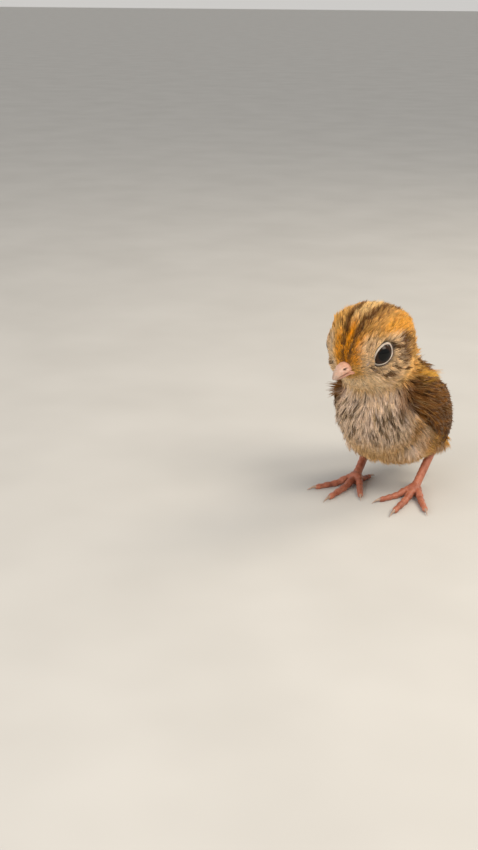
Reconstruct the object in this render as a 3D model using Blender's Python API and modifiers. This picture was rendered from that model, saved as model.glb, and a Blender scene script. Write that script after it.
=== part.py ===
"""Coturnix quail chick, a few days old, hunched on both feet with its head turned a little to its right.

The chick is modelled at its real size in metres. It faces -Y, +Z is up and +X is its left side.
The solids reach out to the tips of the down. Torso, neck, head and tail are modelled whole
and parted by thin cuts; wings, legs, toes, claws, bill and eyes are set on them.
"""

import math

import bmesh
import bpy
from mathutils import Matrix, Vector
from mathutils.bvhtree import BVHTree

MM = 0.001
GAP = 0.3 * MM
SIDES = {"left": 1, "right": -1}

# Standing height and the places of the main masses, from the floor up
HEAD_CENTRE = Vector((-1.0, -9.0, 36.4)) * MM
HEAD_YAW = math.radians(-9)
HEAD_PITCH = math.radians(10)
TRUNK_CENTRE = Vector((0, 3.0, 19.0)) * MM
TRUNK_RADII = Vector((12.2, 15.2, 12.2)) * MM
TRUNK_TILT = math.radians(-52)

# Fusing and thinning of the whole body's surface
BODY_VOXEL = 0.55 * MM
BODY_SMOOTHING = 26
BODY_TRIANGLES = 3300

# Head, in its own frame: +X left, -Y towards the bill, +Z up
EYE_RADIUS = 3.2 * MM
EYE_SINK = 2.84 * MM
EYE_AIM = Vector((0.94, -0.33, 0.06)).normalized()
EYE_FROM = Vector((0, -2.6, 0.5)) * MM
LID_HALF_LENGTH = 2.75 * MM
LID_HALF_HEIGHT = 2.3 * MM
LID_SKIRT = 0.75 * MM
LID_SKIRT_SINK = 0.8 * MM
LID_COVER_CORNER = 0.42 * MM
LID_COVER_MIDDLE = 0.85 * MM
LID_THICKNESS = 0.36 * MM
LID_SLANT = math.radians(30)
BILL_FACE = 9.5 * MM
BILL_RISE = -1.6 * MM
UPPER_BILL_LENGTH = 4.1 * MM
LOWER_BILL_LENGTH = 3.3 * MM
# Bill sections: share of the length, half width, top and bottom in millimetres
UPPER_BILL = (
    (0, 1.72, 1.42, -0.50),
    (0.3, 1.54, 1.22, -0.54),
    (0.62, 1.14, 0.66, -0.70),
    (0.86, 0.70, -0.08, -0.96),
    (1, 0.32, -0.70, -1.16),
)
LOWER_BILL = ((0, 1.56, -0.80, -1.78), (0.35, 1.38, -0.84, -1.78), (0.7, 0.96, -1.02, -1.70), (1, 0.38, -1.26, -1.58))
NOSTRIL = Vector((1.46, -10.8, -1.25)) * MM
NOSTRIL_RADII = Vector((0.40, 0.66, 0.25)) * MM
MOUTH_CORNER = Vector((1.9, -9.4, -2.32)) * MM
MOUTH_CORNER_RADII = Vector((0.8, 0.85, 0.16)) * MM

# Wing, along and across its own axis in the side view
WRIST = Vector((0, -6.0, 27.0)) * MM
WING_TIP = Vector((0, 9.0, 12.4)) * MM
WING_PAD_LENGTH = 13.5 * MM
WING_PAD_HALF_WIDTH = 4.4 * MM
WING_PAD_THICKNESS = 1.6 * MM
FLIGHT_VANES = 8
COVERT_VANES = 5
VANE_THICKNESS = 0.5 * MM

# Legs
HOCK = Vector((7.8, 10.0, 10.9)) * MM
KNEE = Vector((7.4, -4.0, 13.2)) * MM
THIGH_CENTRE = Vector((6.5, 1.4, 12.6)) * MM
THIGH_RADII = Vector((4.1, 7.8, 4.6)) * MM
THIGH_TILT = math.radians(-9)
# The space that parts the thigh from the torso, and the bare end of it: share of the way, radius
THIGH_SPACE = ((-0.44, 0.8), (-0.26, 3.7), (0.1, 5.5), (0.5, 5.2), (0.8, 3.7), (1.0, 2.4))
HOCK_END = ((0.35, 2.6), (0.6, 3.0), (0.8, 2.3), (0.95, 1.65), (1.0, 1.5))
ANKLE = Vector((7.4, -0.6, 1.45)) * MM
SHANK_RADIUS = 1.05 * MM
BALL_RADII = Vector((1.8, 1.7, 1.7)) * MM
# Each toe: its root beside the ball, splay outwards, length, root radius, claw length
TOES = {
    "inner": (Vector((-1.2, -0.5, 0.0)), math.radians(-28), 8.2, 0.82, 1.8),
    "middle": (Vector((0.0, -0.6, 0.0)), math.radians(3), 11.8, 0.88, 2.2),
    "outer": (Vector((1.2, -0.5, 0.0)), math.radians(34), 9.2, 0.82, 1.9),
    "hind": (Vector((-0.35, 0.6, 0.25)), math.radians(192), 4.7, 0.72, 1.5),
}

DOWN_BUFF = (0.62, 0.40, 0.16)
DOWN_BROWN = (0.23, 0.13, 0.07)
DOWN_PALE = (0.66, 0.55, 0.40)
BILL_HORN = (0.63, 0.40, 0.32)
EYE_DARK = (0.02, 0.015, 0.012)
SKIN_PINK = (0.66, 0.42, 0.30)
CLAW_HORN = (0.50, 0.38, 0.30)


def clear_scene():
    """Remove every object that the file opened with."""
    for obj in list(bpy.data.objects):
        bpy.data.objects.remove(obj)


def material(name, colour, roughness):
    """A plain Principled material."""
    made = bpy.data.materials.new(name)
    made.use_nodes = True
    shader = made.node_tree.nodes["Principled BSDF"]
    shader.inputs["Base Color"].default_value = (*colour, 1)
    shader.inputs["Roughness"].default_value = roughness
    shader.inputs["Metallic"].default_value = 0
    return made


def collection(name):
    """A new collection in the scene."""
    made = bpy.data.collections.new(name)
    bpy.context.scene.collection.children.link(made)
    return made


def add_object(name, mesh, home):
    """A new object for the mesh, in the collection home."""
    obj = bpy.data.objects.new(name, mesh)
    home.objects.link(obj)
    return obj


def mark_guide(obj):
    """Keep a cutter or guide out of the model."""
    obj.hide_render = True
    obj.display_type = "WIRE"
    return obj


def ellipsoid(name, centre, radii, home, tilt=0.0, frame=None, detail=32):
    """A closed ellipsoid: tilt turns it about X, and frame carries it into place."""
    bm = bmesh.new()
    bmesh.ops.create_uvsphere(bm, u_segments=detail, v_segments=detail // 2, radius=1)
    mesh = bpy.data.meshes.new(name)
    bm.to_mesh(mesh)
    bm.free()
    place = Matrix.Translation(centre) @ Matrix.Rotation(tilt, 4, "X") @ Matrix.Diagonal((*radii, 1))
    mesh.transform((frame or Matrix()) @ place)
    return add_object(name, mesh, home)


def loft(name, rings, home):
    """A closed body through rings of points, alike in number, with flat ends.

    Each strip is split alike on its two faces, so that a thin body doesn't cross itself.
    """
    bm = bmesh.new()
    rows = [[bm.verts.new(p) for p in ring] for ring in rings]
    count = len(rows[0])
    for near, far in zip(rows, rows[1:]):
        for k in range(count):
            n = (k + 1) % count
            if k < count // 2:
                bm.faces.new((near[k], near[n], far[n]))
                bm.faces.new((near[k], far[n], far[k]))
            else:
                bm.faces.new((near[k], near[n], far[k]))
                bm.faces.new((near[n], far[n], far[k]))
    bm.faces.new(rows[0][::-1])
    bm.faces.new(rows[-1])
    bmesh.ops.recalc_face_normals(bm, faces=bm.faces)
    mesh = bpy.data.meshes.new(name)
    bm.to_mesh(mesh)
    bm.free()
    return add_object(name, mesh, home)


def applied(obj):
    """Make the object's evaluated shape its own mesh, and drop its modifiers."""
    bpy.context.view_layer.update()
    graph = bpy.context.evaluated_depsgraph_get()
    mesh = bpy.data.meshes.new_from_object(obj.evaluated_get(graph))
    obj.modifiers.clear()
    obj.data = mesh
    return obj


def boolean(obj, operation, other, solver="EXACT"):
    """Cut or join by an object, or by a collection of closed objects, and apply it."""
    step = obj.modifiers.new(operation.lower(), "BOOLEAN")
    step.operation = operation
    step.solver = solver
    if isinstance(other, bpy.types.Collection):
        step.operand_type = "COLLECTION"
        step.collection = other
    else:
        step.object = other
    return applied(obj)


def remove_objects(objects):
    """Remove these objects from the file."""
    for obj in list(objects):
        bpy.data.objects.remove(obj)


def islands(mesh):
    """The mesh's separate bodies as lists of vertex indices, the largest first."""
    bm = bmesh.new()
    bm.from_mesh(mesh)
    bm.verts.ensure_lookup_table()
    seen = set()
    found = []
    for start in bm.verts:
        if start.index in seen:
            continue
        seen.add(start.index)
        body = [start.index]
        for index in body:
            for edge in bm.verts[index].link_edges:
                other = edge.other_vert(bm.verts[index]).index
                if other not in seen:
                    seen.add(other)
                    body.append(other)
        found.append(body)
    bm.free()
    return sorted(found, key=len, reverse=True)


def part_of(mesh, indices, name):
    """A new mesh that holds only these vertices of mesh."""
    bm = bmesh.new()
    bm.from_mesh(mesh)
    bm.verts.ensure_lookup_table()
    keep = set(indices)
    bmesh.ops.delete(bm, geom=[v for v in bm.verts if v.index not in keep], context="VERTS")
    made = bpy.data.meshes.new(name)
    bm.to_mesh(made)
    bm.free()
    return made


def keep_largest(obj):
    """Drop all but the object's largest closed surface."""
    obj.data = part_of(obj.data, islands(obj.data)[0], obj.name)
    return obj


def finish(obj, look):
    """Weld, shade and colour a finished node."""
    bm = bmesh.new()
    bm.from_mesh(obj.data)
    bmesh.ops.remove_doubles(bm, verts=bm.verts, dist=0.002 * MM)
    bmesh.ops.triangulate(bm, faces=bm.faces)
    bm.to_mesh(obj.data)
    bm.free()
    obj.data.materials.clear()
    obj.data.materials.append(look)
    obj.data.shade_smooth()
    obj.data.set_sharp_from_angle(angle=math.radians(45))
    return obj


def smooth_step(t):
    """0 to 1, level at both ends."""
    t = min(max(t, 0.0), 1.0)
    return t * t * (3 - 2 * t)


def mix(a, b, t):
    """The value or point a share t of the way from a to b."""
    return a + (b - a) * t


def through(knots, t):
    """A smooth value at t along knots of (t, value), by Catmull-Rom between them."""
    index = 0
    while index < len(knots) - 2 and t > knots[index + 1][0]:
        index += 1
    t1, v1 = knots[index]
    t2, v2 = knots[index + 1]
    t0, v0 = knots[max(index - 1, 0)]
    t3, v3 = knots[min(index + 2, len(knots) - 1)]
    span = t2 - t1
    u = (t - t1) / span
    m1 = (v2 - v0) / (t2 - t0) * span
    m2 = (v3 - v1) / (t3 - t1) * span
    return (
        v1 * (2 * u**3 - 3 * u**2 + 1)
        + m1 * (u**3 - 2 * u**2 + u)
        + v2 * (3 * u**2 - 2 * u**3)
        + m2 * (u**3 - u**2)
    )


def head_frame():
    """From the head's own frame to the model's."""
    turn = Matrix.Rotation(HEAD_YAW, 4, "Z") @ Matrix.Rotation(HEAD_PITCH, 4, "X")
    return Matrix.Translation(HEAD_CENTRE) @ turn


def body_masses(home):
    """The masses of down-covered flesh that fuse into the whole body."""
    frame = head_frame()
    plain = (
        ("trunk", TRUNK_CENTRE / MM, TRUNK_RADII / MM, TRUNK_TILT),
        ("breast", (0, -4.6, 20.6), (10.2, 9.0, 10.4), 0),
        ("mantle", (0, 1.9, 24.8), (9.3, 9.0, 7.3), 0),
        ("rump", (0, 9.6, 16.4), (9.2, 8.6, 8.2), 0),
        ("saddle", (0, 12.4, 17.0), (7.0, 7.0, 6.0), math.radians(-38)),
        ("belly", (0, 1.6, 13.6), (10.2, 10.6, 6.8), 0),
        ("neck_base", (-0.3, -5.0, 29.2), (8.9, 8.5, 6.9), 0),
        ("tail_root", (0, 15.6, 14.5), (4.8, 5.8, 4.2), math.radians(-34)),
        ("tail_tuft", (0, 19.0, 12.2), (2.9, 5.2, 2.2), math.radians(-34)),
    )
    for name, centre, radii, tilt in plain:
        ellipsoid(name, Vector(centre) * MM, Vector(radii) * MM, home, tilt)
    of_head = (
        ("cranium", (0, 0.9, 0.9), (9.3, 10.0, 9.1)),
        ("forehead", (0, -4.0, 0.7), (6.6, 5.6, 6.3)),
        ("muzzle", (0, -6.9, -2.0), (3.1, 3.7, 2.9)),
        ("throat", (0, -2.9, -4.8), (5.2, 5.2, 4.0)),
        ("nape", (0, 5.0, -3.6), (8.2, 6.4, 6.6)),
    )
    for name, centre, radii in of_head:
        ellipsoid(name, Vector(centre) * MM, Vector(radii) * MM, home, frame=frame)
    for label, side in SIDES.items():
        cheek = Vector((4.7 * side, -0.4, -3.6)) * MM
        ellipsoid("cheek_" + label, cheek, Vector((5.0, 6.0, 4.7)) * MM, home, frame=frame)
        thigh = mirrored(THIGH_CENTRE, side)
        ellipsoid("thigh_mass_" + label, thigh, THIGH_RADII, home, THIGH_TILT)


def whole_body(home):
    """Torso, neck, head and tail as one smooth closed surface."""
    masses = collection("masses")
    body_masses(masses)
    bm = bmesh.new()
    for obj in masses.objects:
        bm.from_mesh(obj.data)
    mesh = bpy.data.meshes.new("whole")
    bm.to_mesh(mesh)
    bm.free()
    remove_objects(masses.objects)
    bpy.data.collections.remove(masses)
    whole = add_object("whole", mesh, home)
    remesh = whole.modifiers.new("fuse", "REMESH")
    remesh.mode = "VOXEL"
    remesh.voxel_size = BODY_VOXEL
    soften = whole.modifiers.new("soften", "SMOOTH")
    soften.factor = 0.5
    soften.iterations = BODY_SMOOTHING
    applied(whole)
    thin = whole.modifiers.new("thin", "DECIMATE")
    thin.ratio = BODY_TRIANGLES / (2 * len(whole.data.polygons))
    applied(whole)
    return keep_largest(whole)


def cut_plate(name, front, back, half_width, home):
    """A plate GAP thick through two points of the side view, each (y, z), for a thin cut."""
    front = Vector((0, *front)) * MM
    back = Vector((0, *back)) * MM
    along = (back - front).normalized()
    normal = Vector((1, 0, 0)).cross(along)
    across = Vector((half_width * MM, 0, 0))
    reach = along * 30 * MM
    middle = (front + back) / 2
    rings = []
    for end in (-1, 1):
        centre = middle + reach * end
        rings.append(
            [
                centre - across - normal * GAP / 2,
                centre + across - normal * GAP / 2,
                centre + across + normal * GAP / 2,
                centre - across + normal * GAP / 2,
            ]
        )
    return mark_guide(loft(name, rings, home))


def part_body(whole, home, cutters):
    """Cut the whole body into torso, neck, head and tail."""
    plates = (
        ("cut_throat", (-13.0, 28.4), (1.5, 34.2)),
        ("cut_shoulder", (-14.5, 23.6), (3.5, 32.6)),
        ("cut_rump", (14.0, 6.0), (20.6, 17.6)),
    )
    body = add_object("parted", whole.data.copy(), home)
    for name, front, back in plates:
        plate = cut_plate(name, front, back, 30, cutters)
        boolean(body, "DIFFERENCE", plate)
    named = {}
    for indices in islands(body.data)[:4]:
        places = [body.data.vertices[i].co for i in indices]
        centre = sum(places, Vector()) / len(places)
        if centre.y > 16 * MM:
            name = "tail"
        elif centre.z < 24 * MM:
            name = "torso"
        elif centre.z > 33 * MM:
            name = "head"
        else:
            name = "neck"
        named[name] = add_object(name, part_of(body.data, indices, name), home)
    remove_objects([body])
    return named


class BodySurface:
    """The outer surface of closed bodies, for setting pieces on it."""

    def __init__(self, bodies):
        bm = bmesh.new()
        for obj in bodies:
            bm.from_mesh(obj.data)
        self.tree = BVHTree.FromBMesh(bm)
        bm.free()

    def beside(self, side, y, z, lift):
        """The point on that side at y and z of the side view, lifted off along the normal."""
        start = Vector((60 * MM * side, y, z))
        place, normal, _, _ = self.tree.ray_cast(start, Vector((-side, 0, 0)))
        if place is None:
            place, normal, _, _ = self.tree.find_nearest(Vector((6 * MM * side, y, z)))
        return place + normal * lift, normal

    def nearest(self, point):
        """The nearest place on the body, and the normal there."""
        place, normal, _, _ = self.tree.find_nearest(point)
        return place, normal

    def along(self, start, aim):
        """Where a ray from inside the body leaves it."""
        place, normal, _, _ = self.tree.ray_cast(start, aim)
        return place, normal


def inflated(whole, amount, home, name):
    """The body grown by amount, as a cutter that leaves a gap."""
    grown = mark_guide(add_object(name, whole.data.copy(), home))
    swell = grown.modifiers.new("swell", "DISPLACE")
    swell.mid_level = 0
    swell.strength = amount
    return applied(grown)


def eye_places(surface):
    """Each eye's centre and outward axis in the model's frame."""
    frame = head_frame()
    places = {}
    for label, side in SIDES.items():
        mirror = Matrix.Diagonal((side, 1, 1, 1))
        aim = (frame.to_3x3() @ (mirror.to_3x3() @ EYE_AIM)).normalized()
        start = frame @ (mirror @ EYE_FROM)
        skin, normal = surface.along(start, aim)
        axis = (aim + normal * 2).normalized()
        places[label] = (skin - axis * EYE_SINK, axis, side)
    return places


def lid_ring(name, centre, aim, surface, home):
    """A raised rim from the eyeball out into the head's surface, lower at the bill's end."""
    up = head_frame().to_3x3() @ Vector((0, 0, 1))
    forward = head_frame().to_3x3() @ Vector((0, -1, 0))
    forward = (forward - aim * forward.dot(aim)).normalized()
    up = (up - aim * up.dot(aim) - forward * up.dot(forward)).normalized()
    ridge = EYE_RADIUS + GAP + LID_THICKNESS * 0.35
    steps = 20
    rings = []
    for i in range(steps):
        turn = 2 * math.pi * i / steps
        a = LID_HALF_LENGTH * math.cos(turn)
        b = LID_HALF_HEIGHT * math.sin(turn)
        x = a * math.cos(LID_SLANT) + b * math.sin(LID_SLANT)
        y = b * math.cos(LID_SLANT) - a * math.sin(LID_SLANT)
        flat = forward * x + up * y
        depth = math.sqrt(max(ridge**2 - flat.length_squared, 0))
        radial = (flat + aim * depth).normalized()
        outward = (flat.normalized() - radial * flat.normalized().dot(radial)).normalized()
        spine = centre + radial * ridge
        cover = mix(LID_COVER_CORNER, LID_COVER_MIDDLE, math.sin(turn) ** 2)
        skirt, normal = surface.nearest(spine + outward * LID_SKIRT)
        rings.append(
            [
                spine - outward * cover,
                spine - outward * cover * 0.5 + radial * LID_THICKNESS * 0.8,
                spine + outward * LID_THICKNESS * 0.5 + radial * LID_THICKNESS,
                skirt - normal * LID_SKIRT_SINK,
                spine + outward * LID_THICKNESS * 0.5 - radial * LID_THICKNESS * 1.4,
                spine - outward * cover * 0.5 - radial * LID_THICKNESS * 0.3,
            ]
        )
    bm = bmesh.new()
    rows = [[bm.verts.new(p) for p in ring] for ring in rings]
    for i in range(steps):
        near, far = rows[i], rows[(i + 1) % steps]
        for k in range(len(near)):
            n = (k + 1) % len(near)
            bm.faces.new((near[k], near[n], far[n], far[k]))
    bmesh.ops.recalc_face_normals(bm, faces=bm.faces)
    mesh = bpy.data.meshes.new(name)
    bm.to_mesh(mesh)
    bm.free()
    return add_object(name, mesh, home)


def refine_near(obj, place, reach):
    """Split the faces near a place once, so that fine pieces join a surface as fine as they are."""
    bm = bmesh.new()
    bm.from_mesh(obj.data)
    near = [e for e in bm.edges if all((v.co - place).length < reach for v in e.verts)]
    bmesh.ops.subdivide_edges(bm, edges=near, cuts=1, use_grid_fill=True)
    bmesh.ops.triangulate(bm, faces=bm.faces)
    bm.to_mesh(obj.data)
    bm.free()


def face_head(head, eyes, surface, cutters, look):
    """Give the head its lids, eye sockets, flat bill face and the corners of the mouth."""
    lids = collection("lids")
    for label, (centre, aim, side) in eyes.items():
        refine_near(head, centre + aim * EYE_SINK, 4.6 * MM)
        lid_ring("lid_" + label, centre, aim, surface, lids)
    boolean(head, "UNION", lids)
    remove_objects(lids.objects)
    bpy.data.collections.remove(lids)
    for label, (centre, aim, side) in eyes.items():
        socket = Vector((1, 1, 1)) * (EYE_RADIUS + GAP)
        cutter = mark_guide(ellipsoid("socket_" + label, centre, socket, cutters, detail=20))
        boolean(head, "DIFFERENCE", cutter)
    frame = head_frame()
    front = mark_guide(
        loft(
            "bill_face",
            [
                [frame @ (Vector((x, y, z)) * MM) for x, z in ((-8, -8), (8, -8), (8, 8), (-8, 8))]
                for y in (-30, -BILL_FACE / MM)
            ],
            cutters,
        )
    )
    boolean(head, "DIFFERENCE", front)
    for label, side in SIDES.items():
        corner = mirrored(MOUTH_CORNER, side)
        slit = ellipsoid("mouth_" + label, corner, MOUTH_CORNER_RADII, cutters, math.radians(4), frame, 16)
        boolean(head, "DIFFERENCE", mark_guide(slit))
    finish(keep_largest(head), look)


def bill_half(name, length, middle_share, stations, home):
    """A bill half from stations of (share, half width, top, bottom) in millimetres."""
    frame = head_frame()
    steps, sides = 7, 12
    rings = []
    for i in range(steps + 1):
        t = i / steps
        half = through([(s, w) for s, w, _, _ in stations], t) * MM
        top = through([(s, a) for s, _, a, _ in stations], t) * MM
        low = through([(s, b) for s, _, _, b in stations], t) * MM
        y = -BILL_FACE - GAP - length * t
        ring = []
        for k in range(sides):
            roll = 2 * math.pi * k / sides
            middle = mix(low, top, middle_share)
            rise = (top - middle) if math.sin(roll) > 0 else (middle - low)
            ring.append(
                frame @ Vector((half * math.cos(roll), y, BILL_RISE + middle + rise * math.sin(roll)))
            )
        rings.append(ring)
    return loft(name, rings, home)


def make_bill(home, cutters, look):
    """Upper bill with nostrils, and lower bill, with the line of the mouth between them."""
    upper = bill_half("bill_upper", UPPER_BILL_LENGTH, 0.30, UPPER_BILL, home)
    for label, side in SIDES.items():
        place = mirrored(NOSTRIL, side)
        pit = ellipsoid("nostril_" + label, place, NOSTRIL_RADII, cutters, math.radians(12), head_frame(), 12)
        boolean(upper, "DIFFERENCE", mark_guide(pit))
    finish(keep_largest(upper), look)
    lower = bill_half("bill_lower", LOWER_BILL_LENGTH, 0.72, LOWER_BILL, home)
    finish(lower, look)


def wing_axes():
    """Unit vectors of the side view along the wing and across it, towards the back."""
    along = (WING_TIP - WRIST).normalized()
    return along, Vector((0, -along.z, along.y))


def wing_point(surface, side, a, b, lift):
    """The point a along and b across the wing, in millimetres, lifted off the body."""
    along, across = wing_axes()
    place = WRIST + along * a * MM + across * b * MM
    return surface.beside(side, place.y, place.z, lift)


def wing_pad(name, surface, side, home):
    """The arm and hand: a flat teardrop that lies along the body."""
    steps, sides = 11, 12
    rings = []
    for i in range(steps + 1):
        t = i / steps
        a = mix(-1.6, WING_PAD_LENGTH / MM, t)
        full = max(math.sin(math.pi * (0.06 + 0.90 * t**0.8)), 0.05) ** 0.6
        half = WING_PAD_HALF_WIDTH / MM * full
        thick = WING_PAD_THICKNESS * full * mix(1, 0.72, t)
        ring = []
        for k in range(sides):
            roll = 2 * math.pi * k / sides
            lift = thick * math.sin(roll) if math.sin(roll) > 0 else 1.2 * MM * full * math.sin(roll)
            point, _ = wing_point(surface, side, a, 0.4 + half * math.cos(roll), lift)
            ring.append(point)
        rings.append(ring)
    return loft(name, rings, home)


def vane(name, surface, side, root, tip, width, lift, home):
    """One feather: a flat, slightly ridged blade from root to tip, tilted like a shingle."""
    steps = 3
    shingle = math.radians(10)
    bend = 0.5
    rings = []
    for i in range(steps + 1):
        t = i / steps
        a = mix(root[0], tip[0], t)
        b = mix(root[1], tip[1], t) + bend * math.sin(math.pi * t)
        centre, normal = wing_point(surface, side, a, b, mix(lift[0], lift[1], t))
        ahead, _ = wing_point(surface, side, a + (tip[0] - root[0]) * 0.05, b + (tip[1] - root[1]) * 0.05, mix(lift[0], lift[1], t))
        onward = (ahead - centre).normalized()
        across = normal.cross(onward).normalized() * side
        across = Matrix.Rotation(shingle * side, 3, onward) @ across
        normal = onward.cross(across).normalized() * side
        taper = 1 - 0.72 * smooth_step((t - 0.62) / 0.38)
        half = width / 2 * mix(0.75, 1, smooth_step(t * 2.5)) * taper
        thick = VANE_THICKNESS * mix(1.1, 0.85, t)
        rings.append(
            [
                centre - across * half + normal * thick * 0.28,
                centre + normal * thick * 0.55,
                centre + across * half + normal * thick * 0.28,
                centre + across * half - normal * thick * 0.28,
                centre - normal * thick * 0.45,
                centre - across * half - normal * thick * 0.28,
            ]
        )
    return loft(name, rings, home)


def make_wing(label, side, surface, clearances, home, look):
    """A folded wing: the pad with a tier of flight feathers and one of coverts over their roots."""
    wing = wing_pad("wing_" + label, surface, side, home)
    vanes = collection("vanes_" + label)
    for i in range(FLIGHT_VANES):
        t = i / (FLIGHT_VANES - 1)
        root = (mix(9.6, 4.6, t), mix(-2.2, 3.0, t))
        tip = (mix(20.8, 11.6, t**1.15), mix(-1.6, 6.8, t))
        lift = (0.8 * MM, mix(1.7, 0.62, t) * MM)
        vane("flight_%02d" % i, surface, side, root, tip, 2.5 * MM, lift, vanes)
    for i in range(COVERT_VANES):
        t = i / (COVERT_VANES - 1)
        root = (mix(4.6, 1.6, t), mix(-2.9, 2.6, t))
        tip = (mix(13.6, 8.4, t), mix(-3.4, 5.9, t))
        vane("covert_%02d" % i, surface, side, root, tip, 2.7 * MM, (1.3 * MM, 1.3 * MM), vanes)
    boolean(wing, "UNION", vanes, "MANIFOLD")
    remove_objects(vanes.objects)
    bpy.data.collections.remove(vanes)
    for clearance in clearances:
        boolean(wing, "DIFFERENCE", clearance, "MANIFOLD")
    return finish(keep_largest(wing), look)


def ring_about(centre, across, upward, half, rise, sides, floor=None):
    """An oval ring of points; with a floor, no point is lower than it."""
    ring = []
    for k in range(sides):
        roll = 2 * math.pi * (k + 0.5) / sides
        point = centre + across * half * math.cos(roll) + upward * rise * math.sin(roll)
        if floor is not None:
            point.z = max(point.z, floor)
        ring.append(point)
    return ring


def mirrored(point, side):
    """A left-hand point carried to that side."""
    return Vector((point.x * side, point.y, point.z))


def thigh_length(name, side, shape, home):
    """A closed body round the line from the knee to the hock, from shares of the way and radii."""
    knee, hock = mirrored(KNEE, side), mirrored(HOCK, side)
    along = (hock - knee).normalized()
    across = Vector((0, 0, 1)).cross(along).normalized()
    upward = along.cross(across).normalized()
    steps, sides = 9, 12
    rings = []
    for i in range(steps + 1):
        t = mix(shape[0][0], shape[-1][0], i / steps)
        radius = through(shape, t) * MM
        centre = knee.lerp(hock, t) - Vector((0, 0, 0.5 * MM * math.sin(math.pi * max(t, 0))))
        rings.append(ring_about(centre, across, upward, radius * 0.92, radius, sides))
    return loft(name, rings, home)


def make_thigh(label, side, whole, home, cutters):
    """The thigh, parted from the whole body by its own space, with its end at the hock."""
    space = mark_guide(thigh_length("thigh_space_" + label, side, THIGH_SPACE, cutters))
    thigh = add_object("thigh_" + label, whole.data.copy(), home)
    boolean(thigh, "INTERSECT", space, "MANIFOLD")
    ends = collection("ends_" + label)
    thigh_length("hock_end", side, HOCK_END, ends)
    boolean(thigh, "UNION", ends, "MANIFOLD")
    remove_objects(ends.objects)
    bpy.data.collections.remove(ends)
    return thigh, inflated(space, GAP, cutters, "thigh_room_" + label)


def make_shank(label, side, home, look):
    """The bare shank from the hock to the ball of the foot, with scutes down its front."""
    hock, ankle = mirrored(HOCK, side), mirrored(ANKLE, side)
    knee = mirrored(KNEE, side)
    start = hock + (hock - knee).normalized() * GAP * 1.1
    bend = start + (hock - knee).normalized() * 1.2 * MM
    path = [start, bend.lerp(ankle, 0.06)]
    scutes = 6
    for i in range(scutes * 2 + 1):
        path.append(bend.lerp(ankle, 0.14 + 0.80 * i / (scutes * 2)))
    rings = []
    sides = 8
    for i, centre in enumerate(path):
        before = path[max(i - 1, 0)]
        after = path[min(i + 1, len(path) - 1)]
        onward = (after - before).normalized()
        if i == 0:
            onward = (hock - knee).normalized()
        across = Vector((1, 0, 0)) - onward * onward.x
        across.normalize()
        upward = onward.cross(across).normalized()
        t = i / (len(path) - 1)
        swell = 1.5 - 0.5 * smooth_step(t * 5) + 0.15 * smooth_step((t - 0.8) * 5)
        step = 0.06 if i % 2 == 0 and i > 1 else 0.0
        radius = SHANK_RADIUS * swell * (1 + step)
        rings.append(ring_about(centre, across, upward, radius * 0.9, radius * 1.08, sides))
    shank = loft("shank_" + label, rings, home)
    balls = collection("balls_" + label)
    ball = ellipsoid("ball", ankle, BALL_RADII, balls, detail=14)
    for vertex in ball.data.vertices:
        vertex.co.z = max(vertex.co.z, 0)
    boolean(shank, "UNION", balls)
    remove_objects(balls.objects)
    bpy.data.collections.remove(balls)
    return finish(keep_largest(shank), look)


def make_toe(label, side, toe, home, cutter, look, claw_look):
    """One toe with its pads, flat on the floor, and its claw."""
    offset, splay, length, radius, claw_length = TOES[toe]
    ankle = mirrored(ANKLE, side)
    root = ankle + mirrored(offset * MM, side)
    aim = Vector((math.sin(splay) * side, -math.cos(splay), 0))
    across = Vector((0, 0, 1)).cross(aim).normalized()
    steps, sides = 9, 8
    start_height = root.z
    rest_height = radius * 0.80
    rings = []
    for i in range(steps + 1):
        t = i / steps
        pads = 1 + 0.10 * math.cos(math.pi * i)
        half = radius * MM * mix(1, 0.66, t) * pads
        height = mix(start_height, rest_height * MM * mix(1, 0.72, t), smooth_step(t * 2.2))
        centre = root + aim * length * MM * t
        centre.z = height
        rings.append(ring_about(centre, across, Vector((0, 0, 1)), half, half, sides, floor=0))
    made = loft("toe_%s_%s" % (toe, label), rings, home)
    boolean(made, "DIFFERENCE", cutter)
    finish(keep_largest(made), look)
    claw_rings = []
    claw_steps, claw_sides = 4, 6
    base = root + aim * (length * MM + GAP)
    base.z = rest_height * MM * 0.80
    for i in range(claw_steps + 1):
        t = i / claw_steps
        size = radius * 0.56 * MM * mix(1, 0.16, t**1.2)
        drop = 0.42 * MM * t**2
        centre = base + aim * claw_length * MM * t
        centre.z = base.z + 0.10 * MM * math.sin(math.pi * t) - drop
        claw_rings.append(ring_about(centre, across, Vector((0, 0, 1)), size * 0.8, size, claw_sides, floor=0.02 * MM))
    finish(loft("claw_%s_%s" % (toe, label), claw_rings, home), claw_look)


def make_legs(torso, whole, home, cutters, looks):
    """Both legs, from the thighs to the claws, each set in the torso's down with a thin gap."""
    for label, side in SIDES.items():
        shank = make_shank(label, side, home, looks["skin"])
        shank_room = inflated(shank, GAP, cutters, "shank_room_" + label)
        thigh, thigh_room = make_thigh(label, side, whole, home, cutters)
        boolean(thigh, "DIFFERENCE", shank_room, "MANIFOLD")
        finish(keep_largest(thigh), looks["pale"])
        boolean(torso, "DIFFERENCE", thigh_room, "MANIFOLD")
        boolean(torso, "DIFFERENCE", shank_room, "MANIFOLD")
        root = BALL_RADII + Vector((GAP, GAP, GAP))
        ball = mark_guide(ellipsoid("toe_root_" + label, mirrored(ANKLE, side), root, cutters, detail=14))
        for toe in TOES:
            make_toe(label, side, toe, home, ball, looks["skin"], looks["claw"])


def make_eyes(eyes, home, look):
    """The eyeballs."""
    for label, (centre, aim, side) in eyes.items():
        ball = ellipsoid("eye_" + label, centre, Vector((1, 1, 1)) * EYE_RADIUS, home, detail=18)
        finish(ball, look)


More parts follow.
